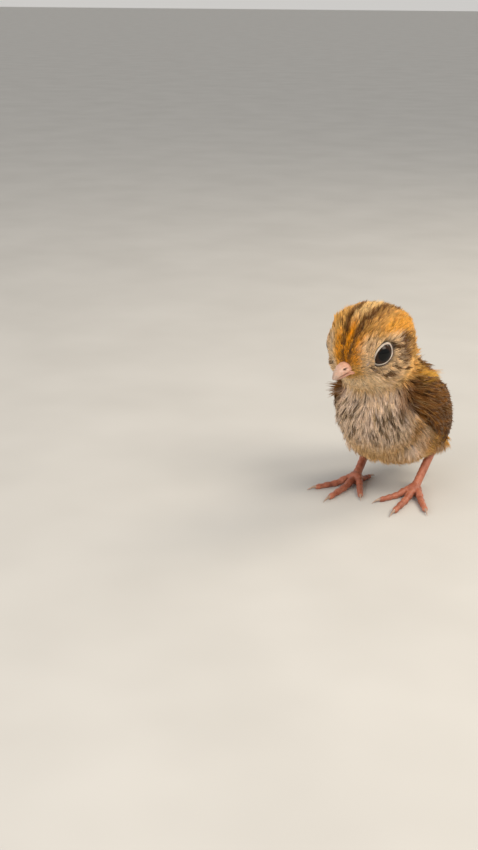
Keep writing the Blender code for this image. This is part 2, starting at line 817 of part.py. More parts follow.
def centre_on_floor(home):
    """Move everything so that the origin is under the middle of the model's box."""
    points = [v.co for obj in home.objects for v in obj.data.vertices]
    middle_x = (min(p.x for p in points) + max(p.x for p in points)) / 2
    middle_y = (min(p.y for p in points) + max(p.y for p in points)) / 2
    low = min(p.z for p in points)
    for obj in home.objects:
        obj.data.transform(Matrix.Translation((-middle_x, -middle_y, -low)))


def main():
    """Build the chick."""
    clear_scene()
    home = collection("quail_chick")
    cutters = collection("cutters")
    looks = {
        "buff": material("down_buff", DOWN_BUFF, 0.9),
        "brown": material("down_brown", DOWN_BROWN, 0.9),
        "pale": material("down_pale", DOWN_PALE, 0.9),
        "bill": material("bill_horn", BILL_HORN, 0.4),
        "eye": material("eye_dark", EYE_DARK, 0.08),
        "skin": material("leg_skin", SKIN_PINK, 0.55),
        "claw": material("claw_horn", CLAW_HORN, 0.4),
    }
    whole = mark_guide(whole_body(cutters))
    surface = BodySurface([whole])
    clearance = inflated(whole, GAP, cutters, "clearance")
    nodes = part_body(whole, home, cutters)
    eyes = eye_places(surface)
    face_head(nodes["head"], eyes, surface, cutters, looks["buff"])
    finish(keep_largest(nodes["neck"]), looks["buff"])
    finish(keep_largest(nodes["tail"]), looks["brown"])
    make_eyes(eyes, home, looks["eye"])
    make_bill(home, cutters, looks["bill"])
    make_legs(nodes["torso"], whole, home, cutters, looks)
    for label, side in SIDES.items():
        leg_room = inflated(bpy.data.objects["thigh_" + label], GAP, cutters, "leg_room_" + label)
        make_wing(label, side, surface, (clearance, leg_room), home, looks["brown"])
    finish(keep_largest(nodes["torso"]), looks["buff"])
    centre_on_floor(home)


main()
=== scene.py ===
"""Looks of a coturnix quail chick: skin, down, young wing feathers, bill, eyes, lids and feet.

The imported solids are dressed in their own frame, in metres: the chick faces -Y, +Z is up and
+X is its left. The fields of its coat (colour, lie, length and lift) are worked out in
millimetres on arrays of places, one row each.
"""

import sys

import logging
import math
from dataclasses import dataclass, field
from enum import Enum
from typing import Any, Dict, List, Sequence, Tuple

import bmesh
import bpy
import numpy as np
from bpy.types import Material, Node, NodeSocket, Object
from mathutils import Matrix, Vector
from mathutils.bvhtree import BVHTree
from mathutils.kdtree import KDTree
from numpy import ndarray
from numpy.random import Generator

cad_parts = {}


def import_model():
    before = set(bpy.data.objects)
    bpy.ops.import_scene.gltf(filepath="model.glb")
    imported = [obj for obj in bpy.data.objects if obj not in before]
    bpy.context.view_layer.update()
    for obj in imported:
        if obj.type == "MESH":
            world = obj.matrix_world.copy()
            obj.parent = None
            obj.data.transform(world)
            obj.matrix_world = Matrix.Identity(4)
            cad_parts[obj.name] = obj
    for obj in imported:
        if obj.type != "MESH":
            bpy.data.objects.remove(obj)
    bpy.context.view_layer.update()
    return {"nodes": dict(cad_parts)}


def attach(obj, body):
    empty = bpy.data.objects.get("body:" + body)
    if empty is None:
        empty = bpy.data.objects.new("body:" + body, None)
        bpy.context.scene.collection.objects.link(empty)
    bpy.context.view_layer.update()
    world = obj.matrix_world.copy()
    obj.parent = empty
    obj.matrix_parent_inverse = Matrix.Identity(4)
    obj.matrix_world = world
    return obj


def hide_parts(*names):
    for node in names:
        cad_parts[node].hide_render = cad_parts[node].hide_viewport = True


MM = 0.001
SEED = 20
BAKE_MAP = "OFBake"
TONE = "tone"
BODY = "root"
# Between these lies nearly all of Blender's noise
NOISE_LOW, NOISE_HIGH = 0.25, 0.75
Rgb = Tuple[float, float, float]
Pair = Tuple[float, float]
Place = Tuple[float, float, float]

log = logging.getLogger("quail_chick")


class Slot(Enum):
    """The record's material slots."""

    DOWN = "down_body"
    WING = "down_wing"
    EYE = "eye"
    BILL = "bill"
    LEG = "leg_skin"
    CLAW = "claw"


class Side(Enum):
    """The chick's own left and right, by the sign of X."""

    LEFT = 1
    RIGHT = -1

    @property
    def label(self) -> str:
        """The name as it stands in the names of nodes and pieces."""
        return self.name.lower()


class Patch(Enum):
    """Parts of the coat, each made as pieces of its own."""

    CROWN = "crown"
    FACE = "face"
    THROAT = "throat"
    NECK = "neck"
    BREAST = "breast"
    BACK = "back"
    FLANK_LEFT = "flank_left"
    FLANK_RIGHT = "flank_right"
    BELLY = "belly"
    RUMP = "rump"
    WING_LEFT = "wing_left"
    WING_RIGHT = "wing_right"


def ease(low: float, high: float, values: Any) -> Any:
    """0 below low, 1 above high, and a smooth step between."""
    share = np.clip((values - low) / (high - low), 0.0, 1.0)
    return share * share * (3.0 - 2.0 * share)


def bell(values: Any, centre: float, half: float) -> Any:
    """A smooth hump of height 1 about a centre."""
    return np.exp(-(((values - centre) / half) ** 2))


def mix(a: Any, b: Any, share: Any) -> Any:
    """Between two numbers or fields of numbers."""
    return a * (1.0 - share) + b * share


def blend(a: Any, b: Any, share: Any) -> ndarray:
    """Between rows of three, by one share for each row."""
    return mix(np.asarray(a, float), np.asarray(b, float), np.asarray(share)[..., None])


def unit(vectors: ndarray) -> ndarray:
    """The rows at length 1."""
    return vectors / np.maximum(np.linalg.norm(vectors, axis=-1, keepdims=True), 1e-9)


def rows(*numbers: float) -> ndarray:
    """A plain array of numbers."""
    return np.array(numbers, float)


def folded(places: ndarray) -> ndarray:
    """A copy of the places, with those of the right half laid on the left."""
    beside = np.array(places, float)
    beside[:, 0] = np.abs(beside[:, 0])
    return beside


def paint(obj: Object, tones: ndarray) -> None:
    """Keep a linear colour for each of a mesh's points, for its material to read."""
    layer = obj.data.color_attributes.new(name=TONE, type="FLOAT_COLOR", domain="POINT")
    opaque = np.column_stack([tones, np.ones(len(tones))])
    layer.data.foreach_set("color", opaque.astype(np.float32).ravel())


class Bench:
    """Modelling by operators, with nothing else selected."""

    @staticmethod
    def clear() -> None:
        """Leave edit mode and deselect everything."""
        if bpy.context.object and bpy.context.object.mode != "OBJECT":
            bpy.ops.object.mode_set(mode="OBJECT")
        bpy.ops.object.select_all(action="DESELECT")

    @staticmethod
    def pick(*objects: Object) -> None:
        """Select these objects alone, the first of them active."""
        Bench.clear()
        for obj in objects:
            obj.select_set(True)
        bpy.context.view_layer.objects.active = objects[0]

    @staticmethod
    def edit() -> None:
        """Enter edit mode with all of the active object selected."""
        bpy.ops.object.mode_set(mode="EDIT")
        bpy.ops.mesh.select_all(action="SELECT")

    @staticmethod
    def placed(name: str, data: Any) -> Object:
        """A new object of the scene, with its data."""
        obj = bpy.data.objects.new(name, data)
        bpy.context.scene.collection.objects.link(obj)
        return obj

    @staticmethod
    def named(name: str) -> Object:
        """Name the active object and its mesh."""
        obj = bpy.context.object
        obj.name = obj.data.name = name
        return obj

    @staticmethod
    def modify(obj: Object, kind: str, **settings: Any) -> None:
        """Add a modifier and apply it.

        Args:
            obj: the piece.
            kind: the modifier's type.
            settings: its values by name.
        """
        Bench.pick(obj)
        modifier = obj.modifiers.new(kind.lower(), kind)
        for key, value in settings.items():
            setattr(modifier, key, value)
        bpy.ops.object.modifier_apply(modifier=modifier.name)

    @staticmethod
    def joined(name: str, objects: Sequence[Object]) -> Object:
        """Join objects into one of that name."""
        Bench.pick(*objects)
        if len(objects) > 1:
            bpy.ops.object.join()
        return Bench.named(name)

    @staticmethod
    def rounded(obj: Object, degrees: float = 60.0) -> Object:
        """Shade smooth but for edges sharper than an angle."""
        Bench.pick(obj)
        bpy.ops.object.shade_smooth_by_angle(angle=math.radians(degrees))
        return obj

    @staticmethod
    def copy(obj: Object, name: str) -> Object:
        """A free copy of a CAD node with its loose triangles merged.

        Args:
            obj: the CAD node.
            name: the copy's name.

        Returns:
            The copy, with a mesh of its own.
        """
        made = Bench.placed(name, obj.data.copy())
        Bench.pick(made)
        Bench.edit()
        bpy.ops.mesh.remove_doubles(threshold=0.001 * MM)
        bpy.ops.object.mode_set(mode="OBJECT")
        return made

    @staticmethod
    def swept(name: str, rings: Sequence[ndarray]) -> Object:
        """A closed body extruded ring by ring from a disc.

        Args:
            name: the piece's name.
            rings: rings of places in millimetres, all with the same count.

        Returns:
            The piece, with its faces pointing outwards.
        """
        Bench.clear()
        bpy.ops.mesh.primitive_circle_add(vertices=len(rings[0]), radius=MM, fill_type="NGON")
        obj = Bench.named(name)
        Bench.edit()
        for i, ring in enumerate(rings):
            if i:
                bpy.ops.mesh.extrude_region_move()
            mesh = bmesh.from_edit_mesh(obj.data)
            cap = next(face for face in mesh.faces if face.select)
            for vertex, place in zip(cap.verts, ring):
                vertex.co = Vector(place) * MM
            bmesh.update_edit_mesh(obj.data)
        bpy.ops.mesh.select_all(action="SELECT")
        bpy.ops.mesh.normals_make_consistent(inside=False)
        bpy.ops.object.mode_set(mode="OBJECT")
        return obj

    @staticmethod
    def ball(name: str, centre: Sequence[float], radii: Sequence[float]) -> Object:
        """An ellipsoid at a place.

        Args:
            name: the piece's name.
            centre: its middle in millimetres.
            radii: its half sizes in millimetres.

        Returns:
            The piece, with its place in its mesh.
        """
        Bench.clear()
        bpy.ops.mesh.primitive_uv_sphere_add(segments=32, ring_count=16, radius=1.0)
        obj = Bench.named(name)
        size = Matrix.Diagonal((*(Vector(radii) * MM), 1.0))
        obj.data.transform(Matrix.Translation(Vector(centre) * MM) @ size)
        return obj


class Wires:
    """The nodes of one material."""

    def __init__(self, name: str) -> None:
        """Start an empty material of that name."""
        self.material = bpy.data.materials.new(name)
        self.material.use_nodes = True
        self.tree = self.material.node_tree
        self.tree.nodes.clear()

    def add(self, kind: str, inputs: Dict[str, Any] | None = None, **settings: Any) -> Node:
        """Add a node.

        Args:
            kind: the node's type, without its ShaderNode prefix.
            inputs: values or sockets for its inputs, by name or place.
            settings: the node's own values.

        Returns:
            The node.
        """
        node = self.tree.nodes.new("ShaderNode" + kind)
        for key, value in settings.items():
            setattr(node, key, value)
        for key, value in (inputs or {}).items():
            if isinstance(value, NodeSocket):
                self.tree.links.new(value, node.inputs[key])
            else:
                node.inputs[key].default_value = value
        return node

    def ramp(self, factor: NodeSocket, stops: Sequence[Tuple[float, Rgb]]) -> NodeSocket:
        """A colour ramp.

        Args:
            factor: what drives it.
            stops: places from 0 to 1 with their colours.

        Returns:
            Its colour socket.
        """
        node = self.add("ValToRGB", {"Fac": factor})
        band = node.color_ramp
        while len(band.elements) < len(stops):
            band.elements.new(0.5)
        for element, (place, colour) in zip(band.elements, stops):
            element.position = place
            element.color = (*colour, 1.0)
        return node.outputs["Color"]

    def tone(self) -> NodeSocket:
        """The colour that the piece's own points keep."""
        return self.add("Attribute", attribute_name=TONE).outputs["Color"]

    def place(self) -> NodeSocket:
        """The Object coordinates."""
        return self.add("TexCoord").outputs["Object"]

    def speckle(self, scale: float, detail: float = 3.0) -> NodeSocket:
        """Noise on the Object coordinates, at a scale in cells to a metre."""
        noise = self.add("TexNoise", {"Vector": self.place(), "Scale": scale, "Detail": detail})
        return noise.outputs["Fac"]

    def shade(self, colour: NodeSocket, noise: NodeSocket, spread: Pair) -> NodeSocket:
        """Multiply a colour by a noise, spread between two factors."""
        reach = {"From Min": NOISE_LOW, "From Max": NOISE_HIGH, "To Min": spread[0], "To Max": spread[1]}
        factor = self.add("MapRange", {"Value": noise, **reach}).outputs[0]
        return self.add("VectorMath", {0: colour, 1: factor}, operation="MULTIPLY").outputs[0]

    def bump(self, height: NodeSocket, depth: float) -> NodeSocket:
        """A bump of a depth in millimetres."""
        return self.add("Bump", {"Height": height, "Distance": depth * MM}).outputs["Normal"]

    def finish(self, inputs: Dict[str, Any]) -> Material:
        """Close the material with a shader of these inputs."""
        shader = self.add("BsdfPrincipled", inputs)
        self.add("OutputMaterial", {"Surface": shader.outputs["BSDF"]})
        return self.material


@dataclass(frozen=True)
class DownFinish:
    """Soft down, coloured by the coat's own markings."""

    name: str = "down"
    roughness: float = 0.85
    sheen: float = 0.06
    specular: float = 0.12
    variation: Pair = (0.86, 1.12)

    def make(self) -> Material:
        """The material."""
        wires = Wires(self.name)
        colour = wires.shade(wires.tone(), wires.speckle(2600.0), self.variation)
        return wires.finish({
            "Base Color": colour,
            "Roughness": self.roughness,
            "Specular IOR Level": self.specular,
            "Sheen Weight": self.sheen,
            "Sheen Roughness": 0.45,
            "Sheen Tint": (1.0, 0.86, 0.62, 1.0),
        })


@dataclass(frozen=True)
class SkinFinish:
    """Bare skin under the down, tinted by the same markings."""

    name: str = "skin"
    roughness: float = 0.6
    bump_depth: float = 0.08
    variation: Pair = (0.75, 1.1)

    def make(self) -> Material:
        """The material."""
        wires = Wires(self.name)
        tone = wires.tone()
        pores = wires.add("TexVoronoi", {"Vector": wires.place(), "Scale": 1500.0}).outputs["Distance"]
        colour = wires.shade(tone, wires.speckle(1400.0), self.variation)
        return wires.finish({
            "Base Color": colour,
            "Roughness": self.roughness,
            "Specular IOR Level": 0.3,
            "Normal": wires.bump(pores, self.bump_depth),
        })


@dataclass(frozen=True)
class HornFinish:
    """Horn of the bill or the claws, in the piece's own tones."""

    name: str
    roughness: float = 0.34
    variation: Pair = (0.84, 1.12)

    def make(self) -> Material:
        """The material."""
        wires = Wires(self.name)
        colour = wires.shade(wires.tone(), wires.speckle(1800.0, 4.0), self.variation)
        return wires.finish({
            "Base Color": colour,
            "Roughness": self.roughness,
            "Specular IOR Level": 0.45,
            "Subsurface Weight": 0.12,
            "Subsurface Radius": (0.9, 0.4, 0.25),
            "Subsurface Scale": 0.0008,
            "Coat Weight": 0.12,
            "Coat Roughness": 0.3,
            "Normal": wires.bump(wires.speckle(5200.0, 2.0), 0.02),
        })


@dataclass(frozen=True)
class EyeFinish:
    """A wet dark eye, its pupil and iris drawn about its own axis."""

    name: str
    centre: Vector
    axis: Vector
    radius: float
    # Shares of the eyeball's radius with their colours: the pupil, the iris and its dark rim
    RINGS = (
        (0.0, (0.002, 0.002, 0.002)),
        (0.40, (0.002, 0.002, 0.002)),
        (0.46, (0.018, 0.008, 0.004)),
        (0.62, (0.030, 0.013, 0.006)),
        (0.74, (0.012, 0.007, 0.005)),
        (1.0, (0.010, 0.006, 0.005)),
    )

    def make(self) -> Material:
        """The material."""
        wires = Wires(self.name)
        turn = self.axis.to_track_quat("Z", "Y").to_matrix().inverted()
        local = wires.add("Mapping", {
            "Vector": wires.place(),
            "Location": -(turn @ self.centre) / self.radius,
            "Rotation": turn.to_euler(),
            "Scale": (1.0 / self.radius,) * 3,
        }).outputs[0]
        flat = wires.add("VectorMath", {0: local, 1: (1.0, 1.0, 0.0)}, operation="MULTIPLY").outputs[0]
        reach = wires.add("VectorMath", {0: flat}, operation="LENGTH").outputs["Value"]
        fibres = wires.add("TexNoise", {"Vector": flat, "Scale": 9.0, "Detail": 4.0}).outputs["Fac"]
        colour = wires.shade(wires.ramp(reach, self.RINGS), fibres, (0.6, 1.5))
        return wires.finish({
            "Base Color": colour,
            "Roughness": 0.09,
            "IOR": 1.34,
            "Specular IOR Level": 0.4,
        })


@dataclass(frozen=True)
class BareSkinFinish:
    """Bare scaled skin of lids, feet and the corners of the mouth, with cells in millimetres."""

    name: str
    colour: Rgb | None
    cell: float
    depth: float
    roughness: float = 0.45
    darkening: Rgb = (0.62, 0.5, 0.46)
    variation: Pair = (0.88, 1.1)

    def make(self) -> Material:
        """The material; without a colour of its own it takes the piece's tone."""
        wires = Wires(self.name)
        if self.colour is None:
            base = wires.tone()
        else:
            dark = tuple(light * share for light, share in zip(self.colour, self.darkening))
            base = wires.ramp(wires.speckle(420.0, 2.0), ((0.3, dark), (0.62, self.colour)))
        grain = {"Vector": wires.place(), "Scale": 1.0 / (self.cell * MM)}
        cells = wires.add("TexVoronoi", grain).outputs["Distance"]
        colour = wires.shade(base, wires.speckle(3000.0), self.variation)
        return wires.finish({
            "Base Color": colour,
            "Roughness": self.roughness,
            "Specular IOR Level": 0.4,
            "Subsurface Weight": 0.15,
            "Subsurface Radius": (1.0, 0.35, 0.2),
            "Subsurface Scale": 0.0006,
            "Normal": wires.bump(cells, self.depth),
        })


@dataclass(frozen=True)
class FloorFinish:
    """A plain pale studio floor."""

    name: str = "studio_floor"
    colour: Rgb = (0.50, 0.49, 0.47)
    paler: Rgb = (0.54, 0.53, 0.51)

    def make(self) -> Material:
        """The material."""
        wires = Wires(self.name)
        base = wires.ramp(wires.speckle(30.0, 2.0), ((0.3, self.colour), (0.7, self.paler)))
        return wires.finish({"Base Color": base, "Roughness": 0.7, "Specular IOR Level": 0.2})


@dataclass
class Mottle:
    """Smooth seeded noise on places, for irregular edges and spots."""

    seed: int
    cell: float
    size: int = 32
    lattice: ndarray = field(init=False)

    def __post_init__(self) -> None:
        """Draw the lattice."""
        self.lattice = np.random.default_rng(self.seed).uniform(-1.0, 1.0, (self.size,) * 3)

    def at(self, places: ndarray) -> ndarray:
        """The noise at places in millimetres.

        Args:
            places: rows of places.

        Returns:
            One number from -1 to 1 for each.
        """
        grid = places / self.cell + 1000.0
        low = np.floor(grid).astype(int)
        share = grid - low
        share = share * share * (3.0 - 2.0 * share)
        total = np.zeros(len(places))
        for corner in np.ndindex(2, 2, 2):
            index = (low + corner) % self.size
            weight = np.prod(np.where(corner, share, 1.0 - share), axis=1)
            total += weight * self.lattice[index[:, 0], index[:, 1], index[:, 2]]
        return total


@dataclass(frozen=True)
class HeadFrame:
    """The head's own frame in millimetres: +X its left, -Y towards the bill, +Z up."""

    centre: Place = (-1.0, -9.42, 36.4)
    yaw: float = math.radians(-9.0)
    pitch: float = math.radians(10.0)

    @property
    def turn(self) -> ndarray:
        """The head's axes as columns, in the part's frame."""
        return np.array(Matrix.Rotation(self.yaw, 3, "Z") @ Matrix.Rotation(self.pitch, 3, "X"))

    def enter(self, places: ndarray) -> ndarray:
        """Places of the part in the head's frame."""
        return (places - np.array(self.centre)) @ self.turn

    def leave(self, places: ndarray) -> ndarray:
        """Places of the head in the part's frame."""
        return places @ self.turn.T + np.array(self.centre)

    def aim(self, vectors: ndarray) -> ndarray:
        """Directions of the head in the part's frame."""
        return vectors @ self.turn.T


@dataclass(frozen=True)
class Anatomy:
    """The places that the chick's parts share, in millimetres."""

    head: HeadFrame = HeadFrame()
    eye_centre: Place = (4.76, -3.70, 0.79)
    eye_axis: Place = (0.863, -0.501, 0.060)
    eye_radius: float = 3.2
    bill_root: Place = (0.0, -9.6, -1.5)
    neck_front: Pair = (-13.4, 28.4)
    neck_slope: float = 0.4
    wrist: Pair = (-6.45, 27.0)
    wing_tip: Pair = (8.55, 12.4)
    hock: Place = (7.8, 9.55, 10.9)
    knee: Place = (7.4, -4.45, 13.2)
    ankle: Place = (7.4, -1.05, 1.45)

    def eye(self, side: Side) -> Tuple[ndarray, ndarray]:
        """An eye's centre and outward axis in the head's frame."""
        flip = rows(side.value, 1, 1)
        return np.array(self.eye_centre) * flip, unit(np.array(self.eye_axis) * flip)

    def beside(self, place: Sequence[float], side: Side) -> ndarray:
        """A place of the left half, on the given side."""
        return np.array(place) * rows(side.value, 1, 1)


@dataclass
class Sites:
    """Places on the coat's outside, the outward normals there, and 1 on the wings' arms."""

    places: ndarray
    normals: ndarray
    winged: ndarray

    def chosen(self, keep: ndarray) -> "Sites":
        """Some of the sites alone."""
        return Sites(self.places[keep], self.normals[keep], self.winged[keep])


@dataclass
class Coat:
    """The fields of the coat: where it is long, how it lies, how it lifts and what colour it has.

    Lengths are in millimetres, lifts in degrees and crowding in tufts to a square millimetre.
    """

    anatomy: Anatomy
    bill_length: float = 0.72
    head_growth: float = 2.1
    body_length: float = 3.1
    tail_length: float = 2.3
    wing_length: float = 2.8
    ruff_growth: float = 1.5
    head_lift: float = 20.0
    body_lift: float = 27.0
    wing_lift: float = 24.0
    ruff_lift: float = 23.0
    least_depth: float = 0.22
    crown_sink: float = 0.9
    body_crowding: float = 21.5
    wing_crowding: float = 25.5
    head_crowding: float = 33.0
    swirl: float = 0.22
    eye_front: float = 2.9
    # Where the tail's short down starts and is full, along Y, and the wrist's long down, along Z
    tail_zone: Pair = (14.5, 17.5)
    wrist_zone: Pair = (18.0, 26.0)
    shoulder: Place = (9.2, -1.4, 28.9)
    broad: Mottle = field(init=False)
    fine: Mottle = field(init=False)
    warp: Mottle = field(init=False)

    STRIPE: Rgb = (0.048, 0.019, 0.007)
    STRIPE_SOFT: Rgb = (0.13, 0.054, 0.018)
    FOREHEAD: Rgb = (0.68, 0.26, 0.006)
    GOLD: Rgb = (0.76, 0.38, 0.055)
    SHOULDER: Rgb = (0.84, 0.48, 0.088)
    GOLDEN_BUFF: Rgb = (0.66, 0.36, 0.088)
    TAN: Rgb = (0.48, 0.255, 0.080)
    PALE_BUFF: Rgb = (0.74, 0.51, 0.23)
    FACE: Rgb = (0.68, 0.47, 0.27)
    CHEEK: Rgb = (0.84, 0.50, 0.17)
    LILAC: Rgb = (0.185, 0.130, 0.108)
    THROAT: Rgb = (0.94, 0.70, 0.43)
    BREAST: Rgb = (0.75, 0.58, 0.44)
    STREAK: Rgb = (0.085, 0.055, 0.030)
    BELLY: Rgb = (0.70, 0.46, 0.20)
    FLANK: Rgb = (0.40, 0.205, 0.060)
    WING: Rgb = (0.088, 0.031, 0.005)
    RUFOUS: Rgb = (0.34, 0.130, 0.016)
    BARK: Rgb = (0.21, 0.074, 0.006)
    # Dark strokes of the side of the face: behind, up, to behind, up, and half width
    STROKES = (
        (-3.0, 2.9, -2.3, 1.2, 0.36),
        (-1.5, 1.6, -0.9, 0.2, 0.42),
        (-2.3, -0.6, -1.9, -1.9, 0.34),
        (-0.1, -0.9, 0.6, -2.2, 0.40),
        (-3.8, -1.7, -2.9, -2.5, 0.30),
        (-5.9, -3.4, -4.6, -3.2, 0.36),
        (-1.6, -3.2, -0.4, -3.7, 0.28),
        (-7.6, -1.4, -6.4, -2.6, 0.24),
    )
    # Stripes along the back: how far out, and half width
    BACK_STRIPES = ((0.0, 1.35), (5.6, 1.35))

    def __post_init__(self) -> None:
        """Draw the noises that make lengths, lie and markings irregular."""
        self.broad = Mottle(SEED + 1, 2.4)
        self.fine = Mottle(SEED + 2, 0.9)
        self.warp = Mottle(SEED + 3, 1.7)

    def below_neck(self, places: ndarray) -> ndarray:
        """How far a place lies under the plane that parts the head."""
        front_y, front_z = self.anatomy.neck_front
        return -(places[:, 2] - front_z - self.anatomy.neck_slope * (places[:, 1] - front_y))

    def headness(self, places: ndarray) -> ndarray:
        """0 on the body, 1 on the head, parted by the neck's plane."""
        return ease(-1.6, 1.2, -self.below_neck(places))

    def from_eye(self, on_head: ndarray) -> ndarray:
        """From the front of the nearer eye to each place, laid on the head's left half."""
        centre, axis = self.anatomy.eye(Side.LEFT)
        return folded(on_head) - (centre + axis * self.eye_front)

    def off_eye(self, on_head: ndarray) -> ndarray:
        """The distance from the front of the nearer eye, in the head's frame."""
        return np.linalg.norm(self.from_eye(on_head), axis=1)

    def off_bill(self, on_head: ndarray) -> ndarray:
        """The distance from the root of the bill, in the head's frame."""
        return np.linalg.norm(on_head - np.array(self.anatomy.bill_root), axis=1)

    def off_hock(self, places: ndarray) -> ndarray:
        """The distance from the nearer hock."""
        return np.linalg.norm(folded(places) - np.array(self.anatomy.hock), axis=1)

    def ruff(self, sites: Sites) -> ndarray:
        """1 at the sides of the neck, where the down stands up like a ruff."""
        side = ease(0.2, 0.7, np.abs(sites.normals[:, 0])) * ease(-9.5, -5.0, sites.places[:, 1])
        return bell(self.below_neck(sites.places), 3.0, 4.0) * side

    def length(self, sites: Sites) -> ndarray:
        """How long the down is.

        Args:
            sites: where it grows.

        Returns:
            Its length in millimetres for each site.
        """
        places = sites.places
        head = self.anatomy.head.enter(places)
        on_head = self.bill_length + self.head_growth * ease(1.5, 12.0, self.off_bill(head))
        on_head *= 0.46 + 0.54 * ease(2.6, 5.2, self.off_eye(head))
        on_head *= 1.0 - 0.3 * bell(head[:, 2], -3.5, 3.0) * ease(2.0, -4.0, head[:, 1])
        on_body = self.body_length + 0.4 * ease(16.0, 9.0, places[:, 2])
        on_body = on_body * (0.62 + 0.38 * ease(0.8, 4.0, self.off_hock(places)))
        on_body = mix(on_body, self.tail_length, ease(*self.tail_zone, places[:, 1]))
        on_body = on_body + self.ruff_growth * self.ruff(sites)
        on_wing = self.wing_length + 0.8 * ease(*self.wrist_zone, places[:, 2])
        return mix(mix(on_body, on_wing, sites.winged), on_head, self.headness(places))

    def lift(self, sites: Sites) -> ndarray:
        """How far the down stands off the skin.

        Args:
            sites: where it grows.

        Returns:
            The angle in radians for each site.
        """
        places = sites.places
        head = self.anatomy.head.enter(places)
        on_head = self.head_lift + 16.0 * ease(3.0, 8.0, head[:, 2]) + 10.0 * ease(2.0, 8.0, head[:, 1])
        on_head = on_head + 8.0 * ease(4.6, 3.2, self.off_eye(head))
        on_body = self.body_lift + self.ruff_lift * self.ruff(sites)
        on_body = on_body - 9.0 * ease(*self.tail_zone, places[:, 1])
        on_body = on_body + 4.0 * ease(0.2, 0.8, -sites.normals[:, 1])
        on_wing = self.wing_lift + 15.0 * ease(*self.wrist_zone, places[:, 2])
        lifted = mix(mix(on_body, on_wing, sites.winged), on_head, self.headness(places))
        return np.radians(lifted)

    def depth(self, sites: Sites) -> ndarray:
        """How deep the skin lies under the coat's outside.

        Args:
            sites: places on the outside.

        Returns:
            The depth in millimetres for each, which also flattens the crown.
        """
        places = sites.places
        raised = self.length(sites) * np.sin(self.lift(sites))
        deep = np.maximum(raised * 0.95 + 0.12, self.least_depth)
        tail = ease(15.0, 19.0, places[:, 1])
        height = self.anatomy.head.enter(places)[:, 2]
        flat_crown = self.crown_sink * ease(6.0, 9.3, height) * self.headness(places)
        return deep * (1.0 - 0.35 * tail) + flat_crown

    def head_lie(self, places: ndarray) -> ndarray:
        """Back from the bill and away from the eyes."""
        head = self.anatomy.head.enter(places)
        back = unit(head - np.array(self.anatomy.bill_root))
        away = self.from_eye(head)
        near = bell(np.linalg.norm(away, axis=1), 2.6, 1.9)
        away = unit(away)
        away[:, 0] *= np.sign(head[:, 0])
        back = back + away * near[:, None] * 0.8 + rows(0, 0.15, 0)
        return self.anatomy.head.aim(back)

    def body_lie(self, sites: Sites) -> ndarray:
        """Down the breast, back along the body and the wing, and over the hock.

        Args:
            sites: where it grows.

        Returns:
            Directions, not yet laid along the skin.
        """
        anatomy, places = self.anatomy, sites.places
        outward, level = np.sign(places[:, 0]), np.zeros(len(places))
        front = ease(0.1, 0.75, -sites.normals[:, 1])[:, None]
        flow = rows(0.0, 1.0, -0.62) * (1.0 - front) + rows(0.0, 0.12, -1.0) * front
        flow = flow + np.stack([outward * 0.16, level, level], axis=1)
        (wrist_y, wrist_z), (tip_y, tip_z) = anatomy.wrist, anatomy.wing_tip
        along = unit(rows(0.0, tip_y - wrist_y, tip_z - wrist_z))
        spread = np.stack([outward * 0.25, level + 0.95, level - 0.28], axis=1)
        on_wing = blend(np.broadcast_to(along, flow.shape), spread, ease(19.0, 26.5, places[:, 2]))
        flow = blend(flow, on_wing, np.maximum(sites.winged, 0.8 * self.ruff(sites)))
        beside = np.stack([np.where(places[:, 0] < 0, -1.0, 1.0), level + 1.0, level + 1.0], axis=1)
        toward = unit((np.array(anatomy.hock) + rows(0.0, 0.5, -3.0)) * beside - places)
        return blend(unit(flow), toward, ease(5.5, 2.8, self.off_hock(places)))

    def lie(self, sites: Sites) -> ndarray:
        """Which way the down lies.

        Args:
            sites: where it grows.

        Returns:
            Unit vectors along the skin.
        """
        places, normals = sites.places, sites.normals
        flow = blend(self.body_lie(sites), self.head_lie(places), self.headness(places))
        turned = self.swirl * self.broad.at(places)
        flow = flow + np.cross(normals, flow) * turned[:, None]
        flow = flow - normals * np.sum(flow * normals, axis=1, keepdims=True)
        return unit(flow)

    def crowding(self, places: ndarray, winged: ndarray) -> ndarray:
        """How many tufts grow on a square millimetre: more about the bill and the eyes."""
        head = self.anatomy.head.enter(places)
        on_head = self.head_crowding + 28.0 * ease(9.0, 3.0, self.off_bill(head))
        on_head = on_head + 40.0 * ease(5.0, 3.2, self.off_eye(head))
        on_body = mix(self.body_crowding, self.wing_crowding, winged)
        return mix(on_body, on_head, self.headness(places))

    def tone(self, sites: Sites) -> ndarray:
        """The markings.

        Args:
            sites: where the down grows.

        Returns:
            A linear colour for each site.
        """
        places = sites.places
        share = self.headness(places + sites.normals * self.fine.at(places)[:, None] * 0.6)
        return blend(self.body_tone(sites), self.head_tone(places), share)

    def ink(self, sites: Sites) -> ndarray:
        """How many of the tufts are dark strands among the lighter ones.

        Args:
            sites: where the down grows.

        Returns:
            A share for each site.
        """
        places, normals = sites.places, sites.normals
        head = self.anatomy.head.enter(places)
        across = np.abs(head[:, 0])
        on_head = 0.16 + 0.16 * ease(3.5, 6.0, head[:, 2]) * ease(7.5, 5.0, across)
        on_head = on_head + 0.08 * ease(3.6, 1.6, across) * ease(-6.0, -8.0, head[:, 1])
        on_head = on_head * (1.0 - 0.8 * ease(-3.4, -5.0, head[:, 2]))
        up = np.clip(normals[:, 2], 0.0, 1.0)
        on_body = 0.10 + 0.14 * up - 0.10 * ease(0.2, 0.6, -normals[:, 1])
        on_body = on_body * ease(9.0, 14.0, places[:, 2])
        return mix(on_body, on_head, self.headness(places))

